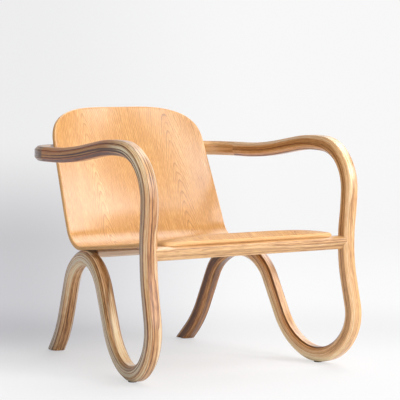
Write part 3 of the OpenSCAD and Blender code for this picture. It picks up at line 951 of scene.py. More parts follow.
@dataclass(frozen=True)
class MouldedPlywood:
    """Two leaves of rotary and crown-cut veneer on a pressed shell, with its plies on the edge.

    It gives the shell its warm tan colour, pointed arches one above the other in the middle
    of each leaf, nearly straight lines beside them, and an edge striped by the plies. Sizes
    and places are in millimetres. A Fade holds where a change starts and ends, then the
    results there.
    """

    thickness: float = 11.0
    # The joint of the leaves, the middle of each, and the step between their patterns.
    joint_x: float = 6.0
    leaf_left: float = -128.0
    leaf_right: float = 146.0
    leaf_step: float = 9.0
    # Growth rings: their width, how they bend and where their dark late wood lies.
    ring: float = 6.5
    ring_start: float = 400.0
    tip_round: float = 70.0
    climb: Fade = (15.0, 130.0, 0.21, 0.0)
    warp: Mottle = Mottle(110.0, 1.0, 55.0, detail=3.0, rough=0.55, share=34.0)
    warp_across: float = 0.45
    warp_rings: float = 0.25
    late_rise: Fade = (0.55, 0.97, 0.0, 1.0)
    late_fall: Fade = (0.97, 1.0, 1.0, 0.0)
    late_least: float = 0.25
    late_swing: float = 0.3
    seed: float = 5.0
    # The fine grain and the flecks are coarser than real ones, so that they show.
    fine: Mottle = Mottle(60.0, 3.0, 2.6, detail=3.0, rough=0.6, share=0.9)
    broad: Mottle = Mottle(420.0, 1.8, 26.0, share=0.5)
    flecks: Mottle = Mottle(18.0, 3.0, 2.4, detail=1.0, share=0.8)
    middle_tone: float = 0.62
    tones: Stops = (
        (0.0, "955e26"),
        (0.4, "b87e37"),
        (0.7, "cc944c"),
        (1.0, "e1b773"),
    )
    # The edge shows a pale and a dark ply in turn, this thick together.
    ply_pair: float = 2.4
    ply_fade: Fade = (0.45, 0.55, 0.0, 1.0)
    stain: Mottle = Mottle(40.0, 0.7, 40.0)
    stain_fade: Fade = (0.4, 0.75, 0.0, 0.3)
    edge_fade: Fade = (0.5, 0.9, 0.0, 1.0)
    pale_ply: str = "f7c68a"
    dark_ply: str = "c9955a"
    stained: str = "906442"
    gloss: Fade = (0.2, 0.8, 0.4, 0.33)
    # The seat is duller than the back, from the bend on.
    seat_dull: Fade = (400.0, 480.0, 0.0, 0.12)
    lacquer: Fade = (400.0, 480.0, 0.75, 0.25)
    lacquer_roughness: float = 0.2
    relief: float = 0.04
    relief_depth: float = 0.3
    ior: float = 1.45

    def build(self) -> bpy.types.Material:
        """Makes the material.

        Returns:
            The material.
        """
        made, t = new_material("moulded_plywood_satin")
        grain = add(t, "Attribute", attribute_name="grain", attribute_type="GEOMETRY").outputs["Vector"]
        length, depth, x = add(t, "SeparateXYZ", (grain,)).outputs
        leaf = add(t, "Math", (x, self.joint_x), operation="GREATER_THAN")
        apart = add(t, "Math", (leaf, self.leaf_step), operation="MULTIPLY")
        place = add(t, "CombineXYZ", (length, apart, x))
        push = add(t, "Math", (self.warp.draw(t, place), 0.5), operation="SUBTRACT")
        push = add(t, "Math", (push, self.warp.share), operation="MULTIPLY")
        centre = (leaf, self.leaf_right - self.leaf_left, self.leaf_left)
        off = add(t, "Math", (x, add(t, "Math", centre, operation="MULTIPLY_ADD")), operation="SUBTRACT")
        off = add(t, "Math", (push, self.warp_across, off), operation="MULTIPLY_ADD")
        fine = self.fine.draw(t, add(t, "CombineXYZ", (length, apart, off)))
        value: Input = self.middle_tone
        for pattern, share in (
            (self.broad.draw(t, place), self.broad.share),
            (self.flecks.draw(t, grain), self.flecks.share),
            (fine, self.fine.share),
        ):
            swung = add(t, "Math", (pattern, 0.5), operation="SUBTRACT")
            value = add(t, "Math", (swung, share, value), operation="MULTIPLY_ADD")
        late = self._late_wood(t, leaf, (length, push, off))
        value = add(t, "Math", (value, late), operation="SUBTRACT")
        face = add(t, "ValToRGB", (value,), self.tones)
        under = add(t, "Math", (self.thickness, depth), operation="SUBTRACT")
        under = add(t, "Math", (depth, under), operation="MINIMUM")
        on_edge = add(t, "MapRange", (under, *self.edge_fade), interpolation_type=SMOOTH)
        layers = {0: on_edge, 6: face, 7: self._edge(t, grain, depth)}
        rough = add(t, "MapRange", (fine, *self.gloss), interpolation_type=SMOOTH)
        dull = add(t, "MapRange", (length, *self.seat_dull), interpolation_type=SMOOTH)
        coat = add(t, "MapRange", (length, *self.lacquer), interpolation_type=SMOOTH)
        bare = add(t, "Math", (1.0, on_edge), operation="SUBTRACT")
        bump = {"Strength": self.relief, "Distance": self.relief_depth * MM, "Height": fine}
        surface = {
            "Base Color": add(t, "Mix", layers, data_type="RGBA").outputs[2],
            "Roughness": add(t, "Math", (rough, dull), operation="ADD"),
            "IOR": self.ior,
            "Normal": add(t, "Bump", bump),
            "Coat Weight": add(t, "Math", (bare, coat), operation="MULTIPLY"),
            "Coat Roughness": self.lacquer_roughness,
        }
        add(t, "OutputMaterial", (add(t, "BsdfPrincipled", surface),))
        return made

    def _late_wood(
        self, tree: bpy.types.NodeTree, leaf: Input, place: tuple[Input, Input, Input]
    ) -> bpy.types.Node:
        """Dark late wood of the growth rings.

        Pointed arches stand one above the other at the heart, and the lines straighten beside
        it.

        Args:
            tree: The node tree.
            leaf: Number of the leaf, 0 or 1.
            place: Length, warp and distance from the middle of the leaf.

        Returns:
            How much darker the wood is.
        """
        length, push, off = place
        flank = add(tree, "Math", (off, off, self.tip_round), operation="MULTIPLY_ADD")
        flank = add(tree, "Math", (flank,), operation="SQRT")
        near = add(tree, "MapRange", (flank, *self.climb), interpolation_type=SMOOTH)
        climbed = add(tree, "Math", (length, near), operation="MULTIPLY")
        heart = add(tree, "Math", (flank, climbed), operation="SUBTRACT")
        heart = add(tree, "Math", (push, self.warp_rings, heart), operation="MULTIPLY_ADD")
        heart = add(tree, "Math", (heart, self.ring_start), operation="ADD")
        count = add(tree, "Math", (heart, self.ring), operation="DIVIDE")
        ring = add(tree, "Math", (count,), operation="FRACT")
        drawn = add(tree, "CombineXYZ", (add(tree, "Math", (count,), operation="FLOOR"), leaf, self.seed))
        tone = add(tree, "TexWhiteNoise", (drawn,), noise_dimensions="3D")
        late = add(tree, "Math", (tone, self.late_swing, self.late_least), operation="MULTIPLY_ADD")
        for fade in (self.late_rise, self.late_fall):
            share = add(tree, "MapRange", (ring, *fade), interpolation_type=SMOOTH)
            late = add(tree, "Math", (late, share), operation="MULTIPLY")
        return late

    def _edge(self, tree: bpy.types.NodeTree, grain: Input, depth: Input) -> bpy.types.NodeSocket:
        """Colour of the striped edge.

        Args:
            tree: The node tree.
            grain: Grain coordinates.
            depth: Depth below the sitting surface.

        Returns:
            The colour.
        """
        ply = add(tree, "Math", (depth, self.ply_pair), operation="DIVIDE")
        ply = add(tree, "Math", (ply,), operation="FRACT")
        base: Input = colour(self.pale_ply)
        for pattern, fade, tint in (
            (ply, self.ply_fade, self.dark_ply),
            (self.stain.draw(tree, grain), self.stain_fade, self.stained),
        ):
            share = add(tree, "MapRange", (pattern, *fade), interpolation_type=SMOOTH)
            base = add(tree, "Mix", {0: share, 6: base, 7: colour(tint)}, data_type="RGBA").outputs[2]
        return base


@dataclass(frozen=True)
class PlainFinish:
    """An even finish for a small fitting: its colour, roughness and metal share."""

    name: str
    code: str
    roughness: float
    metallic: float = 0.0
    # A mottle of 2.5 mm, given in metres as the coordinates of objects are.
    mottle: Mottle = Mottle(2.5 * MM, 2.5 * MM, 2.5 * MM)
    mottle_range: Pair = (0.3, 0.7)
    mottle_swing: float = 0.1

    def build(self) -> bpy.types.Material:
        """Makes the material, with a faint mottle so that no face looks flat.

        Returns:
            The material.
        """
        made, t = new_material(self.name)
        pattern = self.mottle.draw(t, add(t, "TexCoord").outputs["Object"])
        low, high = self.roughness * (1 - self.mottle_swing), self.roughness * (1 + self.mottle_swing)
        rough = (pattern, *self.mottle_range, low, high)
        surface = {
            "Base Color": colour(self.code),
            "Roughness": add(t, "MapRange", rough, interpolation_type=SMOOTH),
            "Metallic": self.metallic,
        }
        add(t, "OutputMaterial", (add(t, "BsdfPrincipled", surface),))
        return made


# Sub-assemblies


def dress(piece: bpy.types.Object, material: bpy.types.Material, slot: Slot, *nodes: str) -> None:
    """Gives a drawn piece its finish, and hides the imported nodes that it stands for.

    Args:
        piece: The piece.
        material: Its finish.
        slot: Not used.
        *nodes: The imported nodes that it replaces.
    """
    piece.data.materials.clear()
    piece.data.materials.append(material)
    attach(piece, "root")
    if nodes:
        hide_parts(*nodes)


@dataclass(frozen=True)
class SideFrame:
    """One side: the arm that bends down into the front leg, and the leg loop below it."""

    side: Side
    size: ChairSize
    # Gap between each foot and the plate of its glide.
    foot_gap: float = 0.12
    # The toe-in eases in over this length of the leg, and reaches this far behind it.
    toe_length: float = 120.0
    toe_behind: float = 40.0

    def _arm_path(self) -> BentPath:
        """Middle line of the arm, in Y and Z.

        Returns:
            The path from the back seam to the joint in the front leg.
        """
        z = self.size
        return BentPath(
            (
                (z.seam_y, z.seam_z),
                (z.leg_y + 406, z.seam_z),
                (z.leg_y + 170, z.arm_height - 17.5),
                (z.leg_y - 11.4, z.arm_height - 30.6),
                (z.leg_y - 9, z.joint_z + 103),
                (z.leg_y, z.joint_z + 40),
                (z.leg_y, z.joint_z),
            ),
            (0, 1200, 538, 128, 580, 300, 0),
        )

    def _loop_path(self) -> BentPath:
        """Middle line of the leg loop, in its own turned plane.

        Returns:
            The path from the joint in the front leg to the rear foot.
        """
        z = self.size
        lift = z.half + z.glide_t - 23.5
        top = z.arch_corner_z
        return BentPath(
            (
                (z.leg_y, z.joint_z),
                (z.leg_y, z.joint_z - 57),
                (z.leg_y - 35, 135.6),
                (z.leg_y + 41.2, lift - 17.2),
                (z.leg_y + 224.7, lift + 60.4),
                (z.leg_y + 373.5, top),
                (z.leg_y + 539.7, top - 106),
                (z.leg_y + 623.3, 66.7),
                (z.leg_y + z.foot_reach, 0.0),
            ),
            (0, 425, 110, 139, 187, 138, 127, 309, 0),
        )

    def _place_arm(self, a: np.ndarray, b: np.ndarray, w: np.ndarray) -> np.ndarray:
        """Places the arm's plane, leaning out a little, and eased into the loop's turn at the joint.

        Args:
            a: Y coordinates.
            b: Z coordinates.
            w: Width, positive to the outside.

        Returns:
            Chair coordinates.
        """
        z, k = self.size, self.side.value
        lean = math.tan(math.radians(z.arm_lean))
        near = np.clip((b - z.joint_z) / self.toe_length, 0, 1)
        toe = np.radians(z.toe_in) * (1 - near * near * (3 - 2 * near)) * (a < z.leg_y + self.toe_behind)
        along = a - z.leg_y
        x = z.side_x + w * np.cos(toe) - along * np.sin(toe) + (b - z.joint_z) * lean
        return np.stack([k * x, z.leg_y + w * np.sin(toe) + along * np.cos(toe), b], -1)

    def _place_loop(self, a: np.ndarray, b: np.ndarray, w: np.ndarray) -> np.ndarray:
        """Places the loop's plane, turned in towards the middle and cut level at the feet.

        Args:
            a: Coordinates along the loop.
            b: Z coordinates.
            w: Width, positive to the outside.

        Returns:
            Chair coordinates.
        """
        z, k = self.size, self.side.value
        toe = math.radians(z.toe_in)
        along = a - z.leg_y
        x = z.side_x + w * math.cos(toe) - along * math.sin(toe)
        y = z.leg_y + w * math.sin(toe) + along * math.cos(toe)
        return np.stack([k * x, y, b], -1)

    def build(self, wood: bpy.types.Material) -> None:
        """Draws both bars and dresses them.

        Args:
            wood: The laminated wood.
        """
        z, right = self.size, self.side is Side.RIGHT
        name = self.side.name.lower()
        outline = Outline.octagon(z.half - INSIDE, z.frame_chamfer)
        # The grain runs on through the joint in the leg, as the photograph shows it.
        batch = Batch.SIDE_RIGHT if right else Batch.SIDE_LEFT
        down = self._arm_path().stations()
        arm = sweep(down, outline, self._place_arm, batch)
        dress(arm.make(f"arm_bar_{name}"), wood, Slot.FRAME, f"arm_{name}")
        loop = sweep(self._loop_path().stations(), outline, self._place_loop, batch, float(down[-1, 3]))
        self._cut_feet(loop, len(outline.points))
        dress(loop.make(f"leg_loop_bar_{name}"), wood, Slot.FRAME, f"leg_loop_{name}")

    def _cut_feet(self, loop: MeshDraft, ring: int) -> None:
        """Cuts the loop level just above the floor.

        Args:
            loop: The draft to cut.
            ring: Number of points round the section.
        """
        floor = self.size.glide_t + self.foot_gap
        # The rings of both caps follow the last ring of the sweep.
        last = loop.places.shape[0] // ring - 3
        end = loop.places[last * ring : (last + 1) * ring]
        before = loop.places[(last - 1) * ring : last * ring]
        go = end - before
        slid = end + go * ((floor - end[:, 2]) / go[:, 2])[:, None]
        loop.places[last * ring : (last + 1) * ring] = slid
        loop.places[-ring:] = slid
        loop.normals[-ring:] = (0.0, 0.0, -1.0)
        loop.places[:, 2] = np.maximum(loop.places[:, 2], floor)


@dataclass(frozen=True)
class BackFrame:
    """The back of the frame: two bent corners and the rail between them."""

    size: ChairSize

    def build(self, wood: bpy.types.Material) -> None:
        """Draws the corners and the rail and dresses them.

        Args:
            wood: The laminated wood.
        """
        z = self.size
        outline = Outline.octagon(z.half - INSIDE, z.frame_chamfer)
        turn = np.linspace(0.0, 90.0, 61)
        way = np.stack(
            [
                z.corner_x + z.corner_r * np.cos(np.radians(turn)),
                z.seam_y + z.corner_r * np.sin(np.radians(turn)),
                turn + 90.0,
                z.corner_r * np.radians(turn),
            ],
            -1,
        )
        for side in Side:
            batch = Batch.CORNER_RIGHT if side is Side.RIGHT else Batch.CORNER_LEFT
            name = side.name.lower()

            def place(a: np.ndarray, b: np.ndarray, w: np.ndarray, k: int = side.value) -> np.ndarray:
                """Places the corner's plane level at the height of the arms.

                Args:
                    a: Distance from the middle plane.
                    b: Y coordinates.
                    w: Height above the middle of the section.
                    k: Sign of the side.

                Returns:
                    Chair coordinates.
                """
                return np.stack([k * a, b, z.seam_z + w], -1)

            corner = sweep(way, outline, place, batch)
            dress(corner.make(f"back_corner_bar_{name}"), wood, Slot.FRAME, f"back_corner_{name}")
        rail = sweep(
            straight_way(-z.corner_x, z.corner_x), outline,
            lambda a, b, w: np.stack([a, z.back_rail_y + b, z.seam_z + w], -1), Batch.BACK_RAIL,
        )
        dress(rail.make("back_rail_bar"), wood, Slot.FRAME, "back_rail")


def straight_way(low: float, high: float) -> np.ndarray:
    """Stations of a straight bar along X.

    Args:
        low: Where the bar starts.
        high: Where it ends.

    Returns:
        Rows as BentPath.stations() gives them.
    """
    at = np.linspace(low, high, 9)
    return np.stack([at, 0 * at, 0 * at, at - low], -1)


@dataclass(frozen=True)
class CrossRails:
    """The front rail under the edge of the seat and the flat rear rail between the arches.

    The rear rail's top rises towards its ends with the hollow of the shell, so that no light
    shows between them.
    """

    size: ChairSize
    # How far the front rail's ends stay from the legs' middle planes, and its bevels.
    front_tuck: float = 12.0
    low_bevel: float = 13.0
    low_bevel_height: float = 16.0
    top_bevel: float = 11.0
    top_bevel_height: float = 6.0
    front_ease: float = 3.0
    rear_bevel: float = 4.0
    rear_ease: float = 2.0
    # Slope of the seat over the rear rail in degrees, then the rise of the rail's top and the
    # distance from the middle plane at which it is reached.
    seat_fall: float = -6.4
    hollow_rise: float = 4.0
    hollow_half: float = 265.0

    def build(self, wood: bpy.types.Material) -> None:
        """Draws both rails and dresses them.

        Args:
            wood: The laminated wood.
        """
        z = self.size
        d, h = z.front_rail_depth / 2, z.front_rail_height / 2
        under, low = self.low_bevel, h - self.low_bevel_height
        top, high = self.top_bevel, h - self.top_bevel_height
        outline = Outline.eased(
            [(-d, low), (under - d, -h), (d - under, -h), (d, low), (d, high), (d - top, h),
             (top - d, h), (-d, high)], self.front_ease,
        )
        end = z.side_x - self.front_tuck
        front = sweep(
            straight_way(-end, end), outline,
            lambda a, b, w: np.stack([a, z.front_rail_y + b, z.front_rail_z + w], -1),
            Batch.FRONT_RAIL,
        )
        dress(front.make("front_rail_bar"), wood, Slot.FRAME, "front_rail")
        w2, h2, e = z.rear_rail_depth / 2, z.rear_rail_height / 2, self.rear_bevel
        flat = Outline.eased(
            [(-w2, -h2 + e), (-w2 + e, -h2), (w2 - e, -h2), (w2, -h2 + e), (w2, h2 - e),
             (w2 - e, h2), (-w2 + e, h2), (-w2, h2 - e)], self.rear_ease,
        )
        fall = math.radians(self.seat_fall)
        rear = sweep(
            straight_way(-z.rear_rail_end, z.rear_rail_end), flat,
            lambda a, b, w: np.stack(
                [
                    a,
                    z.arch_y + b * math.cos(fall) - w * math.sin(fall),
                    z.rear_rail_z + b * math.sin(fall) + w * math.cos(fall)
                    + np.clip(w / h2, 0, 1) * self.hollow_rise * (a / self.hollow_half) ** 2,
                ], -1,
            ),
            Batch.REAR_RAIL,
        )
        dress(rear.make("rear_rail_bar"), wood, Slot.FRAME, "rear_rail")


@dataclass(frozen=True)
class Shell:
    """The moulded shell: seat and backrest in one, hollow across the back, crowned in front."""

    size: ChairSize
    # The side line, as in the part's source: drops below the seat's height, and places.
    bend_drop: float = 66.5
    hollow_reach: float = 136.0
    hollow_drop: float = 25.0
    hollow_radius: float = 480.0
    crest_rise: float = 3.4
    lip_radius: float = 12.0
    lip_fall: float = 60.0
    lip_forward: float = 0.3
    lip_sink: float = 0.2
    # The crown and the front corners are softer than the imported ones, as the photograph shows.
    front_crown: float = 15.0
    crown_back: float = 42.0
    seat_hollow: float = 4.0
    # Lengths and powers of the curves that round the top and the front.
    top_round: float = 130.0
    top_power: float = 2.5
    top_root: float = 3.0
    front_round: float = 60.0
    front_power: float = 5.0
    # Where the hollow has fallen to the given share and then to that of the seat, in shares
    # of the way to the bend.
    lower_back: float = 0.75
    lower_hollow: float = 0.45
    past_bend: float = 1.08
    # Where the seat has its full width, where its hollow starts to fade and where it is flat,
    # in shares of the whole length.
    full_width: float = 0.9
    seat_even: float = 0.8
    seat_flat: float = 0.93
    # The upper ridge grows rounder between two places on the way to the lip.
    upper_ease: float = 4.0
    lip_ease: float = 9.5
    lip_start: float = 0.45
    lip_over: float = 0.25
    lower_ease: float = 1.2
    # The mesh: distance of its rows, least gap before the front rows, columns and rim.
    row_step: float = 7.0
    least_gap: float = 4.0
    columns: int = 44
    rim: float = 3.0

    def _line(self) -> BentPath:
        """Sitting surface seen from the side, along the long edges.

        Returns:
            The path from the top edge to the front lip, in Y and Z.
        """
        z = self.size
        end_y = z.front_rail_y - z.front_rail_depth / 2 + self.lip_forward
        fall = math.radians(self.lip_fall)
        rail_top = z.front_rail_z + z.front_rail_height / 2
        end_z = rail_top + z.shell_thickness * math.cos(fall) - self.lip_sink
        crest_z = z.seat_height - self.front_crown + self.crest_rise
        crest_y = end_y + (crest_z - end_z) / math.tan(fall)
        bend_y, bend_z = z.leg_y + z.seat_length, z.seat_height - self.bend_drop
        lean = math.radians(z.recline)
        top_z = z.back_height + z.back_hollow * math.sin(lean)
        top_y = bend_y + (top_z - bend_z) * math.tan(lean)
        return BentPath(
            (
                (top_y, top_z),
                (bend_y, bend_z),
                (z.leg_y + self.hollow_reach, z.seat_height - self.hollow_drop),
                (crest_y, crest_z),
                (end_y, end_z),
            ),
            (0, z.bend_radius, self.hollow_radius, self.lip_radius, 0),
        )

    def build(self, ply: bpy.types.Material) -> None:
        """Draws the shell and dresses it.

        Args:
            ply: The moulded plywood.
        """
        z = self.size
        path = self._line()
        parts = path.stretches()
        marks = np.concatenate([[0.0], np.cumsum([p[1] for p in parts])])
        length = float(marks[-1])
        bend_s = (marks[1] + marks[2]) / 2

        def eased(s: np.ndarray, table: Sequence[Point]) -> np.ndarray:
            """Eases between the marks of a table.

            Args:
                s: Lengths from the top edge.
                table: Marks and values.

            Returns:
                The eased values.
            """
            out = np.full(s.shape, table[0][1], float)
            for (a, va), (b, vb) in zip(table, table[1:]):
                f = np.clip((s - a) / (b - a), 0, 1)
                out += (vb - va) * f * f * (3 - 2 * f)
            return out

        def plain_half(s: np.ndarray) -> np.ndarray:
            """Half the width before its ends are rounded.

            Args:
                s: Lengths from the top edge.

            Returns:
                Half widths.
            """
            full = self.full_width * length
            return eased(s, [(0, z.back_width / 2), (bend_s, z.bend_width / 2), (full, z.seat_width / 2)])

        def spots(s: np.ndarray) -> np.ndarray:
            """Places and headings on the side line.

            Args:
                s: Lengths from the top edge.

            Returns:
                Rows of Y, Z and heading in degrees.
            """
            rows = []
            for one in s.ravel():
                k = min(int(np.searchsorted(marks[1:-1], one)), len(parts) - 1)
                rows.append(path.spot(parts[k], one - marks[k]))
            return np.array(rows).reshape(*s.shape, 3)

        def surface(s: np.ndarray, x: np.ndarray, d: np.ndarray) -> np.ndarray:
            """Points of the shell.

            Args:
                s: Lengths from the top edge.
                x: Distances from the middle plane.
                d: Depths below the sitting surface.

            Returns:
                Chair coordinates.
            """
            at = spots(s)
            wide = plain_half(s)
            even = self.seat_even * length
            hollows = [
                (0, z.back_hollow),
                (self.lower_back * bend_s, self.lower_hollow * z.back_hollow),
                (self.past_bend * bend_s, self.seat_hollow),
                (even, self.seat_hollow),
                (self.seat_flat * length, 0.0),
            ]
            h = eased(s, hollows)
            c = eased(s, [(even, 0.0), (length - self.crown_back, self.front_crown), (length, 0.0)])
            u = x / wide
            k = (2 * h * u - 4 * c * u**3) / wide
            n = d / np.sqrt(1 + k * k)
            sag = h * (1 - u * u) - c * (1 - u**4) + n
            head = np.radians(at[..., 2])
            return np.stack(
                [x + n * k, at[..., 0] - np.sin(head) * sag, at[..., 1] + np.cos(head) * sag], -1
            )

        def half_at(s: np.ndarray) -> np.ndarray:
            """Half the width with its ends rounded.

            Args:
                s: Lengths from the top edge.

            Returns:
                Half widths.
            """
            top = np.clip(1 - s / self.top_round, 0, 1) ** self.top_power
            front = np.clip((s - length + self.front_round) / self.front_round, 0, 1) ** self.front_power
            return plain_half(s) * (1 - top) ** (1 / self.top_root) * (1 - front) ** (1 / self.front_power)

        turn = np.radians(np.arange(3.0, 90.0, 3.0))
        head_rows = self.top_round * (1 - np.cos(turn) ** (2 / self.top_power))
        foot_rows = length - self.front_round * (1 - np.cos(turn[::-1]) ** (2 / self.front_power))
        mid = np.arange(head_rows[-1] + self.row_step, foot_rows[0] - self.least_gap, self.row_step)
        rows = np.concatenate([head_rows, mid, foot_rows])
        halves = half_at(rows)
        draft = self._skin(rows, halves, surface)
        dress(draft.make("shell_moulding"), ply, Slot.SHELL, "seat_shell")

    def _skin(self, rows: np.ndarray, halves: np.ndarray, surface: Placing) -> MeshDraft:
        """Closes the shell: both faces, and an eased edge all round.

        Args:
            rows: Lengths of the rows from the top edge.
            halves: Half widths of the rows.
            surface: Gives the points of the shell.

        Returns:
            The draft.
        """
        cols = self.columns
        n, thick = len(rows), self.size.shell_thickness - INSIDE
        ease, under = self.upper_ease, self.lower_ease
        across = np.linspace(-1, 1, cols + 1)
        rim = [(rows[i], -halves[i]) for i in range(n)]
        rim += [(rows[-1], halves[-1] * f) for f in across[1:-1]]
        rim += [(rows[i], halves[i]) for i in range(n - 1, -1, -1)]
        rim += [(rows[0], halves[0] * f) for f in across[-2:0:-1]]
        loop = np.array(rim)
        run = np.roll(loop, -1, 0) - np.roll(loop, 1, 0)
        inward = np.stack([run[:, 1], -run[:, 0]], -1)
        inward /= np.linalg.norm(inward, axis=1)[:, None]
        middle = np.array([rows.mean(), 0.0])
        if np.sum((middle - loop) * inward) < 0:
            inward = -inward
        bow = np.radians([0, 22.5, 45, 67.5, 90])
        # The upper ridge grows rounder from the bend to the lip, and shows more of its plies.
        ahead = np.clip((loop[:, 0] - self.lip_start * rows[-1]) / (self.lip_over * rows[-1]), 0, 1)
        ease = ease + (self.lip_ease - ease) * ahead * ahead * (3 - 2 * ahead)
        inset = ease + self.rim
        steps = [(inset, 0.0)]
        steps += [(ease * (1 - math.sin(g)), ease * (1 - math.cos(g))) for g in bow]
        steps += [(under * (1 - math.sin(g)), thick - under * (1 - math.cos(g))) for g in bow[::-1]]
        steps += [(inset, thick)]
        rings, ring_grain = [], []
        for q, d in steps:
            flat = loop + inward * np.broadcast_to(q, len(loop))[:, None]
            depth = np.array(np.broadcast_to(d, len(loop)), float)
            rings.append(surface(flat[:, 0], flat[:, 1], depth))
            ring_grain.append(np.stack([flat[:, 0], depth, flat[:, 1]], -1))
        count = len(loop)
        places, grain = [*rings], [*ring_grain]
        faces: list[tuple[int, ...]] = []
        for r in range(len(steps) - 1):
            for k in range(count):
                a, b = r * count + k, r * count + (k + 1) % count
                faces.append((a, b, b + count, a + count))
        start = len(steps) * count
        left = np.arange(n)
        right = n + (cols - 1) + (n - 1 - np.arange(n))
        for level, (ring, d) in enumerate(((0, 0.0), (len(steps) - 1, thick))):
            flat = loop + inward * inset[:, None]
            inner_s, inner_x = [], []
            for i in range(1, n - 1):
                f = (across[1:-1] + 1) / 2
                inner_s.append(flat[left[i], 0] * (1 - f) + flat[right[i], 0] * f)
                inner_x.append(flat[left[i], 1] * (1 - f) + flat[right[i], 1] * f)
            s = np.concatenate(inner_s)
            x = np.concatenate(inner_x)
            depth = np.full(len(s), d)
            places.append(surface(s, x, depth))
            grain.append(np.stack([s, depth, x], -1))
            base = start + level * (n - 2) * (cols - 1)

            def at(i: int, j: int, ring: int = ring, base: int = base) -> int:
                """Number of a grid point.

                Args:
                    i: Row.
                    j: Column.
                    ring: Number of the ring that bounds this face.
                    base: First number of the inner points.

                Returns:
                    The vertex number.
                """
                if j == 0:
                    return ring * count + i
                if j == cols:
                    return ring * count + int(right[i])
                if i == n - 1:
                    return ring * count + n - 1 + j
                if i == 0:
                    return ring * count + n + (cols - 1) + n - 1 + (cols - j)
                return base + (i - 1) * (cols - 1) + j - 1

            for i in range(n - 1):
                for j in range(cols):
                    quad = (at(i, j), at(i, j + 1), at(i + 1, j + 1), at(i + 1, j))
                    faces.append(quad if level == 0 else tuple(reversed(quad)))
        return MeshDraft(np.concatenate(places), faces, np.concatenate(grain))


@dataclass(frozen=True)
class Fittings:
    """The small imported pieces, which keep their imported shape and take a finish."""

    nodes: dict[str, bpy.types.Object]

    def dress(self) -> None:
        """Gives each packed fitting its finish."""
        # Turned and planed beech are pale and dull, zinc plating and turned brass have a soft
        # shine, and the moulded plastic of the glides is black and matt.
        beech = PlainFinish("turned_beech", "d8b990", 0.55).build()
        block = PlainFinish("planed_beech_block", "c9a57c", 0.5).build()
        steel = PlainFinish("zinc_plated_steel", "b9bbbd", 0.32, 1.0).build()
        brass = PlainFinish("turned_brass", "c8a556", 0.3, 1.0).build()
        glide = PlainFinish("black_glide_plastic", "1d1b1a", 0.5).build()
        for name, node in self.nodes.items():
            if "dowels" in name:
                self._give(node, beech, Slot.DOWEL)
            elif "screws" in name:
                self._give(node, steel, Slot.SCREW)
            elif name == "shell_inserts":
                self._give(node, brass, Slot.INSERT)
            elif name == "foot_glides":
                self._give(node, glide, Slot.GLIDE)
            elif "block" in name:
                self._give(node, block, Slot.FRAME)

    def _give(self, node: bpy.types.Object, material: bpy.types.Material, slot: Slot) -> None:
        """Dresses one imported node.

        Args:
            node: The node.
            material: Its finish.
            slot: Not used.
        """
        node.data.materials.clear()
        node.data.materials.append(material)
        LOG.info("%s: %s", node.name, material.name)


# Studio


@dataclass(frozen=True)
class Lamp:
    """A soft light in the surroundings: its direction, spread, bright core and strength."""

    way: tuple[float, float, float]
    spread: float
    core: float
    strength: float


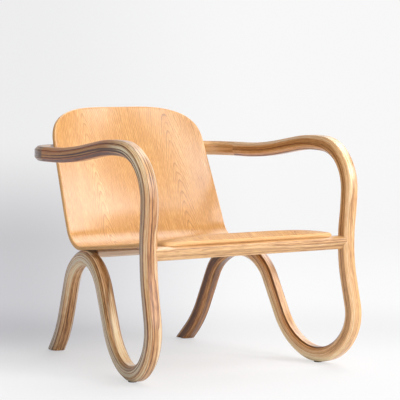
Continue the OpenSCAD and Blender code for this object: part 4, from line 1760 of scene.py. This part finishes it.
@dataclass(frozen=True)
class Studio:
    """Floor, soft lights and the camera of the photograph."""

    room: float = 0.385
    floor_gain: float = 0.87
    lamps: tuple[Lamp, ...] = (
        Lamp((0.05, -0.50, 0.86), 16.0, 6.0, 6.54),
        Lamp((0.60, 0.12, 0.78), 25.0, 9.0, 3.9),
        Lamp((0.66, -0.57, 0.49), 12.0, 5.0, 8.2),
        Lamp((0.23, -0.79, 0.57), 13.0, 5.0, 7.3),
        Lamp((0.46, -0.84, 0.25), 26.0, 10.0, 3.0),
        Lamp((-0.30, -0.91, 0.30), 30.0, 10.0, 1.75),
        Lamp((0.55, 0.60, 0.58), 30.0, 10.0, 0.77),
        Lamp((0.50, 0.85, 0.15), 55.0, 20.0, 0.23),
        Lamp((-0.88, 0.45, -0.05), 82.0, 25.0, -0.37),
    )
    # The camera's place in metres and its angles in degrees, found by fitting both side
    # frames to the photograph, which is 400 pixels wide.
    camera_at: tuple[float, float, float] = (-2.6404, -4.2252, 0.8170)
    azimuth: float = 32.526
    fall: float = 4.213
    focal_px: float = 1790.72
    photo_px: float = 400.0
    sensor: float = 36.0
    # Half the floor's width in metres, and the share of the painted glow of the backdrop tone in what the
    # camera sees of it, by the distance from the chair.
    floor_half: float = 40.0
    painted_glow_share: Fade = (1.5, 4.0, 0.68, 1.0)
    # The floor returns a little less light to the chair than to the camera.
    bounce: float = 0.98
    # Fades of the painted shade on the backdrop, in widths of the photograph from its upper left corner.
    tone_right: Fade = (0.02, 0.66, 1.0, 0.04)
    tone_down: Fade = (0.34, 0.62, 0.2, 0.86)
    tone_low: Fade = (0.62, 0.80, 1.0, 0.98)
    tone_near: Fade = (0.81, 0.955, 1.0, 0.10)
    cove_down: float = 0.82
    cove_painted_shade: Fade = (0.0, 0.075, 0.12, 0.0)
    backdrop: Stops = ((0.0, "f8f8f8"), (0.3, "e8e8e9"), (1.0, "bebdc1"))
    light: str = "fafafc"

    def axes(self) -> tuple[Vector, Vector, Vector]:
        """Directions of the camera.

        Returns:
            Ahead, right and up.
        """
        t, p = math.radians(self.azimuth), math.radians(self.fall)
        ahead = Vector((math.sin(t) * math.cos(p), math.cos(t) * math.cos(p), -math.sin(p)))
        right = Vector((math.cos(t), -math.sin(t), 0.0))
        return ahead, right, right.cross(ahead)

    def build(self) -> None:
        """Makes the camera, the floor and the surroundings that light the chair."""
        self._camera()
        self._floor()
        self._world()

    def _camera(self) -> None:
        """Makes the camera of the photograph."""
        data = bpy.data.cameras.new("photo_camera")
        data.lens = self.focal_px * self.sensor / self.photo_px
        data.sensor_width = self.sensor
        data.clip_end = 60.0
        camera = bpy.data.objects.new("photo_camera", data)
        camera.location = self.camera_at
        camera.rotation_euler = self.axes()[0].to_track_quat("-Z", "Y").to_euler()
        bpy.context.scene.collection.objects.link(camera)
        bpy.context.scene.camera = camera

    def _screen(self, tree: bpy.types.NodeTree, way: Input) -> tuple[bpy.types.Node, bpy.types.Node]:
        """Place on the photograph that lies in a direction.

        Args:
            tree: The node tree.
            way: Direction from the camera's place, of any length.

        Returns:
            Right and down, in widths of the photograph from its upper left corner.
        """
        ahead, right, up = (
            add(tree, "VectorMath", (way, tuple(axis)), operation="DOT_PRODUCT").outputs["Value"]
            for axis in self.axes()
        )
        zoom = self.focal_px / self.photo_px
        right = add(tree, "Math", (right, ahead), operation="DIVIDE")
        down = add(tree, "Math", (up, ahead), operation="DIVIDE")
        return (
            add(tree, "Math", (right, zoom, 0.5), operation="MULTIPLY_ADD"),
            add(tree, "Math", (down, -zoom, 0.5), operation="MULTIPLY_ADD"),
        )

    def _backdrop_tone(self, tree: bpy.types.NodeTree, way: Input) -> bpy.types.Node:
        """Tone of the pale backdrop, with painted shade at the left below the middle.

        Args:
            tree: The node tree.
            way: Direction from the camera's place.

        Returns:
            The colour.
        """
        right, down = self._screen(tree, way)
        tone = add(tree, "MapRange", (right, *self.tone_right), interpolation_type=SMOOTH)
        for fade in (self.tone_down, self.tone_low, self.tone_near):
            share = add(tree, "MapRange", (down, *fade), interpolation_type=SMOOTH)
            tone = add(tree, "Math", (tone, share), operation="MULTIPLY")
        # A faint band of painted shade lies right across, as where a floor turns up into a wall.
        cove = add(tree, "Math", (down, self.cove_down), operation="SUBTRACT")
        cove = add(tree, "Math", (cove,), operation="ABSOLUTE")
        cove = add(tree, "MapRange", (cove, *self.cove_painted_shade), interpolation_type=SMOOTH)
        tone = add(tree, "Math", (tone, cove), operation="ADD")
        return add(tree, "ValToRGB", (tone,), self.backdrop)

    def _floor(self) -> None:
        """Adds the floor, which runs into the backdrop without an edge."""
        mesh = bpy.data.meshes.new("floor")
        r = self.floor_half
        mesh.from_pydata([(-r, -r, 0), (r, -r, 0), (r, r, 0), (-r, r, 0)], [], [(0, 1, 2, 3)])
        floor = bpy.data.objects.new("floor", mesh)
        bpy.context.scene.collection.objects.link(floor)
        made, t = new_material("pale_studio_floor")
        at = add(t, "NewGeometry").outputs["Position"]
        way = add(t, "VectorMath", (at, self.camera_at), operation="SUBTRACT")
        tone = self._backdrop_tone(t, way)
        seen = add(t, "LightPath").outputs["Is Camera Ray"]
        full, dim = self.floor_gain, self.floor_gain * self.bounce
        greys = {0: seen, 6: (dim, dim, dim, 1.0), 7: (full, full, full, 1.0)}
        # The floor's colour takes the backdrop tone, painted shade and all.
        paint = {0: 1.0, 6: tone, 7: add(t, "Mix", greys, data_type="RGBA").outputs[2]}
        paint = add(t, "Mix", paint, data_type="RGBA", blend_type="MULTIPLY").outputs[2]
        # The camera sees a painted glow of the tone itself: two thirds of what it sees of the floor near the
        # chair, which lightens the floor's shadows, and all of it far away, so that floor and wall join
        # unseen.
        away = add(t, "VectorMath", (at,), operation="LENGTH").outputs["Value"]
        plain = add(t, "MapRange", (away, *self.painted_glow_share), interpolation_type=SMOOTH)
        plain = add(t, "Math", (plain, seen), operation="MULTIPLY")
        both = add(t, "MixShader", (plain, add(t, "BsdfDiffuse", (paint,)), add(t, "Emission", (tone,))))
        add(t, "OutputMaterial", (both,))
        mesh.materials.append(made)
        floor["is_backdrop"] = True

    def _world(self) -> None:
        """Makes the soft surroundings and the pale backdrop that the camera sees."""
        world = bpy.data.worlds.new("studio")
        bpy.context.scene.world = world
        world.use_nodes = True
        t = world.node_tree
        t.nodes.clear()
        way = add(t, "TexCoord").outputs["Generated"]
        level: Input = self.room
        for lamp in self.lamps:
            toward = tuple(Vector(lamp.way).normalized())
            dot = add(t, "VectorMath", (way, toward), operation="DOT_PRODUCT").outputs["Value"]
            wide, core = math.cos(math.radians(lamp.spread)), math.cos(math.radians(lamp.core))
            glow = add(t, "MapRange", (dot, wide, core, 0.0, lamp.strength), interpolation_type=SMOOTH)
            level = add(t, "Math", (level, glow), operation="ADD")
        soft = add(t, "Background", (colour(self.light), level))
        seen = add(t, "Background", (self._backdrop_tone(t, way), 1.0))
        both = add(t, "MixShader", (add(t, "LightPath").outputs["Is Camera Ray"], soft, seen))
        add(t, "OutputWorld", (both,))


class LoungeChair:
    """The whole chair, built from its sub-assemblies."""

    def __init__(self, size: ChairSize, nodes: dict[str, bpy.types.Object]) -> None:
        """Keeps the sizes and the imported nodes.

        Args:
            size: Sizes of the chair.
            nodes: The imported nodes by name.
        """
        self.size = size
        self.nodes = nodes

    def build(self) -> None:
        """Draws and dresses every piece."""
        wood = LaminatedWood().build()
        ply = MouldedPlywood(thickness=self.size.shell_thickness).build()
        for side in Side:
            SideFrame(side, self.size).build(wood)
        BackFrame(self.size).build(wood)
        CrossRails(self.size).build(wood)
        Shell(self.size).build(ply)
        Fittings(self.nodes).dress()


def main() -> None:
    """Builds the scene."""
    logging.basicConfig(level=logging.INFO, format="%(name)s %(message)s")
    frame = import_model()
    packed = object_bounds()
    bpy.context.scene.view_settings.view_transform = "Standard"
    LoungeChair(ChairSize.of_frame(frame["nodes"]), frame["nodes"]).build()
    Studio().build()
    boxes = {"packed": packed, "shown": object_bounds()}
    {name: [list(corner) for corner in box] for name, box in boxes.items()}


if __name__ == "__main__":
    main()
